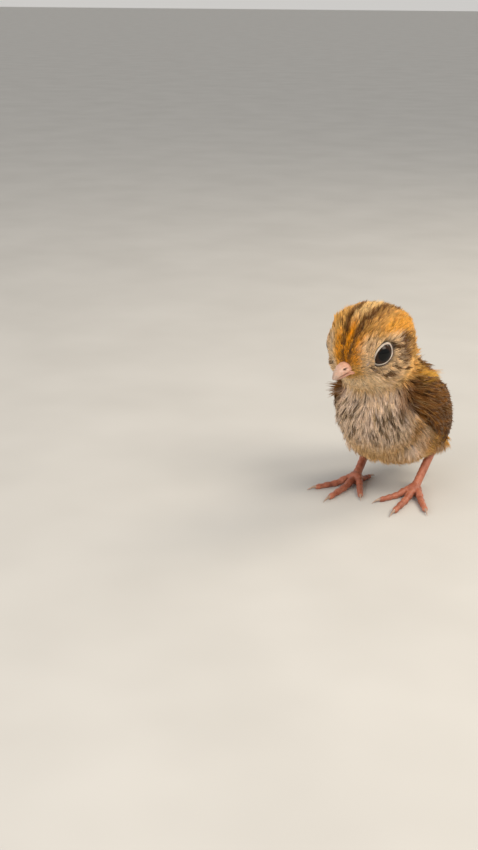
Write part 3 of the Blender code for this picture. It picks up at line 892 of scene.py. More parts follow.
    def head_tone(self, places: ndarray) -> ndarray:
        """The markings of the head.

        Args:
            places: rows of places of the part.

        Returns:
            A linear colour for each place.
        """
        head = self.anatomy.head.enter(places)
        wander, fine = self.warp.at(places), self.fine.at(places)
        turn = np.degrees(np.arctan2(head[:, 2] + 1.0, -head[:, 1]))
        turn = np.where(turn < -90, turn + 360, turn)
        across = np.abs(head[:, 0] - 0.5 * ease(75, 45, turn) + 0.22 * wander)
        up, behind = head[:, 2], head[:, 1]
        colour = self.crown_tone(head, turn, across, fine)

        face = ease(6.6, 4.4, self.off_eye(head) + 0.5 * wander) * ease(5.2, 3.2, up)
        face = np.maximum(face, ease(1.5, -1.5, up) * ease(2.0, -2.0, behind) * ease(2.0, 4.0, across))
        lilac = blend(self.FACE, self.LILAC, ease(-2.6, -0.6, behind) * ease(-4.6, -2.4, up))
        colour = blend(colour, lilac, face)
        cheek = ease(-2.0, -4.5, up) * ease(3.5, 5.5, across) * ease(-4.0, -1.0, behind)
        colour = blend(colour, self.CHEEK, cheek * 0.9)
        throat = ease(-3.0, -5.2, up) * ease(6.2, 4.2, across) * ease(4.0, 0.0, behind)
        colour = blend(colour, self.THROAT, throat)
        patch = bell(up + 0.72 * behind, 2.3, 1.15) * ease(-1.6, -0.2, behind)
        patch = patch * ease(5.4, 3.6, behind) * ease(5.5, 7.0, across)
        colour = blend(colour, self.STRIPE, np.clip(patch * (0.95 + 0.4 * fine), 0, 1))
        colour = self.stroked(colour, head, fine)
        nape = ease(6.0, 9.0, behind) * ease(4.0, -2.0, up)
        return blend(colour, self.FLANK, nape * (0.5 + 0.4 * fine))

    def crown_tone(self, head: ndarray, turn: ndarray, across: ndarray, fine: ndarray) -> ndarray:
        """The crown: buff, with an orange forehead, a pale middle and a dark stripe on each side.

        Args:
            head: rows of places in the head's frame.
            turn: degrees round the head from the bill, 90 at its top.
            across: how far out from the crown's middle line.
            fine: the fine noise there.

        Returns:
            A linear colour for each place.
        """
        up, behind = head[:, 2], head[:, 1]
        colour = blend(self.GOLDEN_BUFF, self.TAN, ease(20, 75, turn) * (0.55 + 0.25 * fine))
        centre = np.interp(turn, (5, 20, 50, 77, 120), (0.6, 0.85, 1.7, 2.9, 3.4))
        half = np.interp(turn, (5, 25, 45, 80), (0.34, 0.44, 0.72, 0.92))
        median = ease(1.0, 0.3, across / centre) * ease(-25, 5, turn)
        middle = blend(self.FOREHEAD, self.PALE_BUFF, ease(38, 66, turn))
        colour = blend(colour, middle, median * ease(190, 150, turn))
        forehead = ease(-6, 8, turn) * ease(52, 30, turn) * ease(4.0, 2.0, across + 0.3 * fine)
        colour = blend(colour, self.FOREHEAD, forehead * 0.85)
        gold = bell(up - 0.1 * (behind + 1.0), 5.0, 1.7) * ease(4.8, 6.4, across) * ease(-5.6, -2.8, behind)
        colour = blend(colour, self.GOLD, np.clip(gold * 1.15, 0, 1) * ease(10.5, 7.0, behind))
        stripe = np.exp(-(((across - centre) / half) ** 4)) * ease(-8, 12, turn) * ease(215, 180, turn)
        dark = blend(self.STRIPE, self.STRIPE_SOFT, ease(0.0, 0.8, fine))
        return blend(colour, dark, stripe * (0.84 + 0.16 * ease(24, 46, turn)))

    def stroked(self, colour: ndarray, head: ndarray, fine: ndarray) -> ndarray:
        """Draw the dark strokes on the sides of the face.

        Args:
            colour: the colour so far.
            head: rows of places in the head's frame.
            fine: the fine noise there.

        Returns:
            The colour with the strokes over it.
        """
        beside = folded(head)
        for y0, z0, y1, z1, size in self.STROKES:
            start, run = rows(y0, z0), rows(y1 - y0, z1 - z0)
            flat = beside[:, 1:] - start
            share = np.clip(flat @ run / (run @ run), 0.0, 1.0)
            gap = np.linalg.norm(flat - share[:, None] * run, axis=1) + ease(4.6, 3.6, beside[:, 0]) * 9.0
            colour = blend(colour, self.STRIPE, 0.92 * ease(size * 1.4, size * 0.5, gap + 0.12 * fine))
        return colour

    def body_tone(self, sites: Sites) -> ndarray:
        """The markings of the body.

        Args:
            sites: where the down grows.

        Returns:
            A linear colour for each site.
        """
        places, normals, winged = sites.places, sites.normals, sites.winged
        broad, fine, wander = self.broad.at(places), self.fine.at(places), self.warp.at(places)
        across = np.abs(places[:, 0] + 0.5 * wander)
        back = ease(-0.05, 0.4, normals @ unit(rows(0.0, 0.5, 0.87)))
        front = ease(0.15, 0.65, -normals[:, 1])
        under = np.maximum(ease(0.15, 0.8, -normals[:, 2]), ease(12.0, 7.0, places[:, 2]) * 0.7)

        colour = blend(self.FLANK, self.GOLDEN_BUFF, ease(-0.2, 0.5, broad + 0.3 * fine) * 0.8)
        colour = blend(colour, self.GOLDEN_BUFF, back * 0.85)
        for centre, half in self.BACK_STRIPES:
            band = np.exp(-(((across - centre) / half) ** 4)) * back
            edge = np.exp(-(((across - centre) / (half * 1.6)) ** 4)) * back
            colour = blend(colour, self.RUFOUS, edge * 0.7)
            colour = blend(colour, self.STRIPE, band * (0.85 + 0.15 * fine))
        blotch = ease(0.15, 0.45, fine) * back * ease(3.0, 6.0, across)
        colour = blend(colour, self.WING, blotch * 0.4)
        chest = front * ease(33.0, 29.0, places[:, 2])
        colour = blend(colour, self.BREAST, chest * 0.95)
        colour = blend(colour, self.BELLY, under * (0.9 + 0.1 * broad))
        neck_side = bell(self.below_neck(places), 3.2, 3.2) * ease(5.5, 8.0, across)
        neck_side = neck_side * ease(0.35, 0.6, np.abs(normals[:, 0]))
        colour = blend(colour, self.BARK, neck_side * (0.8 + 0.2 * fine))
        wing = blend(self.WING, self.RUFOUS, ease(0.1, 0.6, broad + 0.4 * fine) * 0.6)
        colour = blend(colour, wing, winged)
        off_shoulder = np.linalg.norm(folded(places) - rows(*self.shoulder), axis=1)
        shoulder_gold = ease(5.0, 2.8, off_shoulder + 0.9 * fine) * (1.0 - 0.75 * winged)
        return blend(colour, self.SHOULDER, 0.95 * shoulder_gold)

    def patches(self, sites: Sites) -> ndarray:
        """Which part of the coat each site belongs to.

        Args:
            sites: where the down grows.

        Returns:
            The index of a Patch for each site.
        """
        places, normals, winged = sites.places, sites.normals, sites.winged
        order = list(Patch)
        head = self.anatomy.head.enter(places)
        left = places[:, 0] > 0
        # The later rule wins
        rules = (
            (left, Patch.FLANK_LEFT),
            (normals[:, 1] < -0.45, Patch.BREAST),
            (normals[:, 2] > 0.45, Patch.BACK),
            ((normals[:, 2] < -0.35) | (places[:, 2] < 9.5), Patch.BELLY),
            (self.below_neck(places) < 5.0, Patch.NECK),
            (places[:, 1] > 12.5, Patch.RUMP),
            (winged > 0.5, Patch.WING_RIGHT),
            ((winged > 0.5) & left, Patch.WING_LEFT),
        )
        found = np.full(len(places), order.index(Patch.FLANK_RIGHT))
        for rule, patch in rules:
            found[rule] = order.index(patch)
        on_head = self.headness(places) > 0.5
        found[on_head] = order.index(Patch.FACE)
        found[on_head & (head[:, 2] > 3.2)] = order.index(Patch.CROWN)
        found[on_head & (head[:, 2] < -4.4)] = order.index(Patch.THROAT)
        found[on_head & (head[:, 1] > 4.0)] = order.index(Patch.CROWN)
        return found


@dataclass
class Grown:
    """The skin's mesh as arrays, with the coat's outside over it."""

    skin: ndarray
    sites: Sites
    corners: ndarray
    unwrap: ndarray


@dataclass
class Skin:
    """One skin for torso, neck, head, tail, thighs and the wings' arms."""

    anatomy: Anatomy
    coat: Coat
    voxel: float = 0.42
    grow: float = 0.2
    plug_radius: float = 3.40
    cuff_radius: float = 3.0
    smoothing: int = 8
    shadow: float = 0.55
    tree: BVHTree | None = None

    FLESH = ("torso", "neck", "head", "tail", "thigh_left", "thigh_right")

    def build(self, nodes: Dict[str, Object]) -> Tuple[Object, Grown, "WingPlane"]:
        """Fuse the flesh, measure its outside and sink it by the coat's depth.

        Args:
            nodes: the CAD nodes by name.

        Returns:
            The skin, its arrays, and the plane on which the wings lie.
        """
        flesh = [Bench.copy(nodes[name], "flesh_" + name) for name in self.FLESH]
        for obj in flesh:
            self.swell(obj)
        for side in Side:
            centre, _ = self.anatomy.eye(side)
            place = self.anatomy.head.leave(centre[None])[0]
            hock = self.anatomy.beside(self.anatomy.hock, side)
            flesh.append(Bench.ball("plug_" + side.label, place, (self.plug_radius,) * 3))
            flesh.append(Bench.ball("cuff_" + side.label, hock, (self.cuff_radius,) * 3))
        body = Bench.joined("skin", flesh)
        plane = WingPlane(self.anatomy, body)
        arms = [WingArm(plane, side).build() for side in Side]
        arm_tree = BVHTree.FromObject(Bench.joined("arms", arms), bpy.context.evaluated_depsgraph_get())
        skin = Bench.joined("skin", [body, bpy.data.objects["arms"]])
        Bench.modify(skin, "REMESH", mode="VOXEL", voxel_size=self.voxel * MM, use_smooth_shade=True)
        Bench.modify(skin, "SMOOTH", factor=0.5, iterations=self.smoothing)
        outside, normals = self.read(skin)
        sites = Sites(outside, normals, self.on_arms(outside, arm_tree))
        self.write(skin, outside - normals * self.coat.depth(sites)[:, None])
        Bench.modify(skin, "SMOOTH", factor=0.5, iterations=2)
        sunk, _ = self.read(skin)
        self.tree = BVHTree.FromObject(skin, bpy.context.evaluated_depsgraph_get())
        roots = sunk.copy()
        for side in Side:
            sunk = Lid(self.anatomy, side).socket(sunk)
        self.write(skin, sunk)
        self.unwrap(skin)
        self.paint(skin, sites)
        return skin, self.arrays(skin, roots, sites), plane

    def swell(self, obj: Object) -> None:
        """Grow a part a little, so that the thin cuts between the parts close."""
        for vertex in obj.data.vertices:
            vertex.co += vertex.normal * self.grow * MM

    def read(self, skin: Object) -> Tuple[ndarray, ndarray]:
        """The places and normals of the mesh, in millimetres."""
        count = len(skin.data.vertices)
        places, normals = np.empty(count * 3), np.empty(count * 3)
        skin.data.vertices.foreach_get("co", places)
        skin.data.vertices.foreach_get("normal", normals)
        return places.reshape(-1, 3) / MM, unit(normals.reshape(-1, 3))

    def write(self, skin: Object, places: ndarray) -> None:
        """Move the mesh to new places."""
        skin.data.vertices.foreach_set("co", (places * MM).ravel())
        skin.data.update()

    def on_arms(self, outside: ndarray, arms: BVHTree) -> ndarray:
        """1 where the outside is an arm's, 0 elsewhere, smooth between."""
        gaps = np.array([arms.find_nearest(Vector(place * MM))[3] or 1.0 for place in outside]) / MM
        return ease(0.55, 0.2, gaps)

    def unwrap(self, skin: Object) -> None:
        """Unwrap the skin's own shape."""
        Bench.pick(skin)
        skin.data.uv_layers.new(name=BAKE_MAP)
        Bench.edit()
        bpy.ops.uv.smart_project(angle_limit=math.radians(66), island_margin=0.006)
        bpy.ops.object.mode_set(mode="OBJECT")

    def paint(self, skin: Object, sites: Sites) -> None:
        """Put the coat's markings on the skin, darker, as seen between the tufts."""
        paint(skin, self.coat.tone(sites) * self.shadow)
        skin.data.materials.clear()
        skin.data.materials.append(SkinFinish().make())
        Bench.rounded(skin, 80.0)

    def arrays(self, skin: Object, roots: ndarray, sites: Sites) -> Grown:
        """The finished mesh as arrays of triangles.

        Args:
            skin: the skin.
            roots: where the down is rooted, for each of its points.
            sites: the coat's outside over them.

        Returns:
            The arrays that the down grows from.
        """
        mesh = skin.data
        mesh.calc_loop_triangles()
        count = len(mesh.loop_triangles)
        corners, loops = np.empty(count * 3, int), np.empty(count * 3, int)
        mesh.loop_triangles.foreach_get("vertices", corners)
        mesh.loop_triangles.foreach_get("loops", loops)
        flat = np.empty(len(mesh.loops) * 2)
        mesh.uv_layers[BAKE_MAP].data.foreach_get("uv", flat)
        return Grown(roots, sites, corners.reshape(-1, 3), flat.reshape(-1, 2)[loops].reshape(-1, 3, 2))


class WingPlane:
    """The body's flanks as a surface on which a wing is laid out along and across its length."""

    def __init__(self, anatomy: Anatomy, body: Object) -> None:
        """Take the surface of the fused body before the arms are added."""
        self.anatomy = anatomy
        self.tree = BVHTree.FromObject(body, bpy.context.evaluated_depsgraph_get())
        wrist, tip = Vector((0.0, *anatomy.wrist)), Vector((0.0, *anatomy.wing_tip))
        self.wrist = wrist
        self.along = (tip - wrist).normalized()
        self.across = Vector((0.0, -self.along.z, self.along.y))

    def place(self, side: Side, a: float, b: float, lift: float) -> Tuple[ndarray, ndarray]:
        """A place over the flank.

        Args:
            side: which wing.
            a: how far along the wing from the wrist, in millimetres.
            b: how far across it, towards the back.
            lift: how far off the body.

        Returns:
            The place and the outward normal there.
        """
        flat = self.wrist + self.along * a + self.across * b
        start = Vector((side.value * 40.0, flat.y, flat.z)) * MM
        hit, normal, _, _ = self.tree.ray_cast(start, Vector((-side.value, 0.0, 0.0)))
        if hit is None:
            hit, normal, _, _ = self.tree.find_nearest(Vector((side.value * 9.0, flat.y, flat.z)) * MM)
        return np.array(hit) / MM + np.array(normal) * lift, np.array(normal)


@dataclass
class WingArm:
    """The arm and hand of a folded wing, under their down."""

    plane: WingPlane
    side: Side
    length: float = 13.5
    half_width: float = 4.4
    thickness: float = 1.6
    ahead: float = 1.6
    steps: int = 16
    sides: int = 20

    def build(self) -> Object:
        """The flat teardrop that lies along the body."""
        rings = []
        for i in range(self.steps + 1):
            t = i / self.steps
            a = -self.ahead + (self.length + self.ahead) * t
            full = max(math.sin(math.pi * (0.06 + 0.90 * t**0.8)), 0.05) ** 0.6
            thick = self.thickness * full * (1.0 - 0.28 * t)
            ring = []
            for k in range(self.sides):
                roll = 2.0 * math.pi * k / self.sides
                lift = thick * math.sin(roll) if math.sin(roll) > 0 else 1.2 * full * math.sin(roll)
                b = 0.4 + self.half_width * full * math.cos(roll)
                ring.append(self.plane.place(self.side, a, b, lift)[0])
            rings.append(np.array(ring))
        return Bench.swept("arm_" + self.side.label, rings)


@dataclass
class Spikes:
    """Thin closed tapering blades with three sides, made together as one mesh."""

    name: str
    bake_patch: float = 0.003

    def mesh(self, rings: ndarray, tips: ndarray, tones: ndarray, unwrap: ndarray) -> Object:
        """Build one object from all the blades.

        Args:
            rings: places of the rings in millimetres, (blades, rings, sides, 3).
            tips: the blades' ends, (blades, 3).
            tones: a colour for each ring and the tip, (blades, rings + 1, 3).
            unwrap: each blade's place on the bake map, (blades, 2).

        Returns:
            The object, with its tone and its bake map.
        """
        blades, levels, sides, _ = rings.shape
        each = levels * sides + 1
        places = np.concatenate([rings.reshape(blades, -1, 3), tips[:, None]], axis=1).reshape(-1, 3)
        faces = []
        for j in range(levels - 1):
            for k in range(sides):
                a, b = j * sides + k, j * sides + (k + 1) % sides
                faces += [(a, b, b + sides), (a, b + sides, a + sides)]
        last = (levels - 1) * sides
        faces += [(last + k, last + (k + 1) % sides, each - 1) for k in range(sides)]
        faces.append((2, 1, 0))
        pattern = np.array(faces)
        index = (pattern[None] + (np.arange(blades) * each)[:, None, None]).reshape(-1, 3)
        mesh = bpy.data.meshes.new(self.name)
        mesh.vertices.add(len(places))
        mesh.vertices.foreach_set("co", (places * MM).astype(np.float32).ravel())
        mesh.loops.add(index.size)
        mesh.loops.foreach_set("vertex_index", index.astype(np.int32).ravel())
        mesh.polygons.add(len(index))
        mesh.polygons.foreach_set("loop_start", np.arange(0, index.size, 3, dtype=np.int32))
        mesh.polygons.foreach_set("loop_total", np.full(len(index), 3, dtype=np.int32))
        mesh.polygons.foreach_set("use_smooth", np.ones(len(index), dtype=bool))
        mesh.update(calc_edges=True)
        shades = np.concatenate([np.repeat(tones[:, :levels], sides, axis=1), tones[:, levels:]], axis=1)
        spots = [(k / sides, j / levels) for j in range(levels) for k in range(sides)]
        spots = np.array(spots + [(0.5, 1.0)])
        flat = (unwrap[:, None] + (spots - 0.5)[None] * self.bake_patch).reshape(-1, 2)
        bake = mesh.uv_layers.new(name=BAKE_MAP)
        bake.data.foreach_set("uv", flat[index.ravel()].astype(np.float32).ravel())
        obj = Bench.placed(self.name, mesh)
        paint(obj, shades.reshape(-1, 3))
        return obj


@dataclass
class Down:
    """The coat: tufts of down that grow from the skin and gather in small points."""

    coat: Coat
    grown: Grown
    most_in_a_piece: int = 11000
    clump_spacing: float = 0.72
    gather: float = 0.78
    thickness: float = 0.135
    lid_margin: float = 0.47
    hock_margin: float = 0.4
    # How much steeper than its lift a tuft starts, and how much flatter it ends, in radians
    steeper: float = 0.30
    flatter: float = 0.14
    # Shares of a tuft's length with shares of its thickness
    STATIONS = ((0.0, 0.62), (0.36, 1.0), (0.72, 0.66))

    def build(self) -> List[Object]:
        """Grow all the down.

        Returns:
            The coat's pieces, each under 200,000 triangles.
        """
        rng = np.random.default_rng(SEED)
        roots, sites, unwrap = self.sow(rng)
        keep = self.allowed(roots, sites)
        roots, sites, unwrap = roots[keep], sites.chosen(keep), unwrap[keep]
        blades = self.shape(rng, roots, sites)
        patches = self.coat.patches(sites)
        pieces = []
        finish = DownFinish().make()
        for number, patch in enumerate(Patch):
            chosen = np.flatnonzero(patches == number)
            parts = max(1, math.ceil(len(chosen) / self.most_in_a_piece))
            for i in range(parts):
                part = chosen[i::parts]
                if not len(part):
                    continue
                name = "down_" + patch.value + ("_%d" % (i + 1) if parts > 1 else "")
                piece = Spikes(name).mesh(*(x[part] for x in (*blades, unwrap)))
                piece.data.materials.append(finish)
                pieces.append(piece)
        return pieces

    def sow(self, rng: Generator) -> Tuple[ndarray, Sites, ndarray]:
        """Draw the roots on the skin's triangles.

        Args:
            rng: the seeded source of chance.

        Returns:
            Places on the skin, the sites over them and their places on the bake map.
        """
        grown, sites = self.grown, self.grown.sites
        sizes = []
        for surface in (sites.places, grown.skin):
            a, b, c = (surface[grown.corners[:, i]] for i in range(3))
            sizes.append(np.linalg.norm(np.cross(b - a, c - a), axis=1) / 2.0)
        # In a hollow the sunk skin spreads wider than the outside
        areas = np.maximum(sizes[0], 0.85 * sizes[1])
        middle = sites.places[grown.corners].mean(axis=1)
        winged = sites.winged[grown.corners].mean(axis=1)
        expected = areas * self.coat.crowding(middle, winged)
        total = int(expected.sum())
        chosen = rng.choice(len(areas), size=total, p=expected / expected.sum())
        u, v = rng.random(total), rng.random(total)
        fold = u + v > 1.0
        u[fold], v[fold] = 1.0 - u[fold], 1.0 - v[fold]
        shares = np.stack([1.0 - u - v, u, v], axis=1)
        corner = grown.corners[chosen]

        def between(values: ndarray) -> ndarray:
            """The value at each root, from its triangle's corners."""
            return np.einsum("ij,ijk->ik", shares, values[corner])

        flat = np.einsum("ij,ijk->ik", shares, grown.unwrap[chosen])
        wing = np.einsum("ij,ij->i", shares, sites.winged[corner])
        return between(grown.skin), Sites(between(sites.places), unit(between(sites.normals)), wing), flat

    def allowed(self, roots: ndarray, sites: Sites) -> ndarray:
        """Where down may grow: not on the lids, in the bill's root or at the bare hock."""
        anatomy = self.coat.anatomy
        head = anatomy.head.enter(sites.places)
        clear = self.coat.off_hock(sites.places) > self.hock_margin
        for side in Side:
            clear &= Lid(anatomy, side).beyond(roots) > self.lid_margin
        at_bill = (head[:, 1] < -9.0) & (np.abs(head[:, 0]) < 1.35) & (np.abs(head[:, 2] + 1.75) < 1.15)
        return clear & ~at_bill

    def shape(self, rng: Generator, roots: ndarray, sites: Sites) -> Tuple[ndarray, ...]:
        """Bend each tuft from its root along the lie, and gather neighbours' tips.

        Args:
            rng: the seeded source of chance.
            roots: the tufts' roots on the skin.
            sites: the coat's outside over them.

        Returns:
            Rings, tips and tones for the blades.
        """
        coat, count, normals = self.coat, len(roots), sites.normals
        length = coat.length(sites)
        bristle = np.maximum(sites.winged, coat.ruff(sites)) * ease(16.0, 22.0, sites.places[:, 2])
        clumps, lead = self.gathered(rng, roots, length, bristle)
        uneven = rng.normal(0.0, 1.0, clumps.max() + 1)[clumps]
        length = length * rng.uniform(0.72, 1.2, count) * np.exp(uneven * (0.06 + 0.14 * bristle))
        lift = coat.lift(sites) + rng.normal(0.0, 0.10, count) + 0.10 * uneven * bristle
        lie = coat.lie(sites)
        sway = rng.normal(0.0, 0.16, count)[:, None]
        lie = unit(lie + np.cross(normals, lie) * sway)
        root = roots - normals * (0.02 + 0.10 * ease(0.3, 1.6, length))[:, None]
        steep, low = lift + self.steeper, lift - self.flatter
        bow = lie * np.cos(steep)[:, None] + normals * np.sin(steep)[:, None]
        bow = root + bow * (length * 0.5)[:, None]
        tip = lie * np.cos(low)[:, None] + normals * np.sin(low)[:, None]
        tip = root + tip * length[:, None]

        pull = (self.gather * rng.uniform(0.55, 1.0, count) * ease(0.35, 1.2, length))[:, None]
        offset = root - root[lead]
        aimed = tip[lead] + offset * 0.15
        reach = np.linalg.norm(tip - root, axis=1, keepdims=True)
        tip = tip * (1 - pull) + aimed * pull
        tip = root + unit(tip - root) * reach
        middle = bow[lead] + offset * 0.6
        bow = bow * (1 - pull * 0.5) + middle * pull * 0.5

        stations, widths = np.array(self.STATIONS).T
        spans = [(1 - s) ** 2 * root + 2 * s * (1 - s) * bow + s * s * tip for s in stations]
        spans = np.stack(spans, axis=1)
        onward = unit(tip - root)
        side = unit(np.cross(onward, normals))
        over = np.cross(side, onward)
        thick = self.thickness * (0.45 + 0.55 * ease(0.3, 2.6, length)) * rng.uniform(0.75, 1.25, count)
        roll = 2.0 * math.pi * np.arange(3) / 3.0 + math.pi / 2.0
        spread = thick[:, None, None, None] / 2.0 * widths[None, :, None, None]
        circle = side[:, None, None] * np.cos(roll)[None, None, :, None] * 1.15
        circle = circle + over[:, None, None] * np.sin(roll)[None, None, :, None] * 0.8
        rings = spans[:, :, None] + circle * spread
        return rings, tip, self.tones(rng, sites, clumps)

    def gathered(
        self, rng: Generator, roots: ndarray, length: ndarray, bristle: ndarray
    ) -> Tuple[ndarray, ndarray]:
        """Part the tufts among clump leaders.

        Args:
            rng: the seeded source of chance.
            roots: the tufts' roots.
            length: the tufts' lengths.
            bristle: 1 where the clumps are coarse.

        Returns:
            The number of each tuft's clump and the index of the tuft that leads it.
        """
        spacing = self.clump_spacing * (0.45 + 0.55 * ease(0.4, 2.4, length)) * (1.0 + 0.45 * bristle)
        chance = np.minimum(1.0, 1.0 / (spacing**2 * self.coat.crowding(roots, np.zeros(len(roots)))))
        leaders = np.flatnonzero(rng.random(len(roots)) < chance)
        tree = KDTree(len(leaders))
        for i, place in enumerate(roots[leaders]):
            tree.insert(place, i)
        tree.balance()
        clump = np.array([tree.find(place)[1] for place in roots])
        return clump, leaders[clump]

    def tones(self, rng: Generator, sites: Sites, clumps: ndarray) -> ndarray:
        """Colours from root to tip.

        Args:
            rng: the seeded source of chance.
            sites: where the tufts grow.
            clumps: each tuft's clump.

        Returns:
            A colour for each ring and the tip of each tuft.
        """
        coat, outside, normals = self.coat, sites.places, sites.normals
        count = len(outside)
        number = clumps.max() + 1
        strayed = outside + rng.normal(0.0, 0.16, (number, 3))[clumps] + rng.normal(0.0, 0.10, (count, 3))
        tone = coat.tone(Sites(strayed, normals, sites.winged))
        calm = 1.0 - 0.55 * ease(0.15, 0.6, -normals[:, 1]) * (1.0 - coat.headness(outside))
        shade = np.exp((rng.normal(0.0, 0.20, number)[clumps] + rng.normal(0.0, 0.16, count)) * calm)
        tone = tone * np.clip(shade, 0.45, 1.8)[:, None]
        warm = rng.normal(0.0, 0.035, number)[clumps]
        tone = tone * (1.0 + warm[:, None] * rows(0.6, 0.1, -1.2))
        inked = rng.random(number)[clumps] * 0.75 + rng.random(count) * 0.25
        inked = ease(0.02, -0.06, inked - coat.ink(sites))
        tone = blend(tone, coat.STRIPE_SOFT, inked * 0.85)
        tone = blend(tone, coat.STREAK, self.streaks(rng, sites, clumps))
        dark = ease(0.20, 0.04, tone.mean(axis=1))
        tip = blend(tone * 1.25, np.array(coat.RUFOUS) * 1.1, dark * 0.35)
        gold = rng.random(count) < 0.12
        tip[gold] = blend(tip[gold], coat.PALE_BUFF, 0.5)
        # From root to tip the down lightens: partly its own colouring, partly painted shade that darkens
        # the roots deep in the coat
        depth = (0.42 + 0.3 * (1.0 - calm))[:, None]
        levels = [tone * depth, tone * 0.82, blend(tone, tip, np.full(count, 0.5)), tip]
        levels = np.stack(levels, axis=1)
        # Scaled by its strongest channel, a colour too bright keeps its hue
        return levels * np.minimum(1.0, 0.92 / np.maximum(levels.max(axis=2, keepdims=True), 1e-6))

    def streaks(self, rng: Generator, sites: Sites, clumps: ndarray) -> ndarray:
        """Fine dark streaks that fan down the breast."""
        picked = rng.random(clumps.max() + 1)[clumps] < 0.30
        across, height = np.abs(sites.places[:, 0]), sites.places[:, 2]
        fan = ease(0.15, 0.5, -sites.normals[:, 1]) * ease(14.5, 17.5, height) * ease(26.5, 24.5, height)
        fan = fan * ease(0.4, 2.0, across) * ease(9.5, 7.5, across)
        return 0.85 * fan * picked


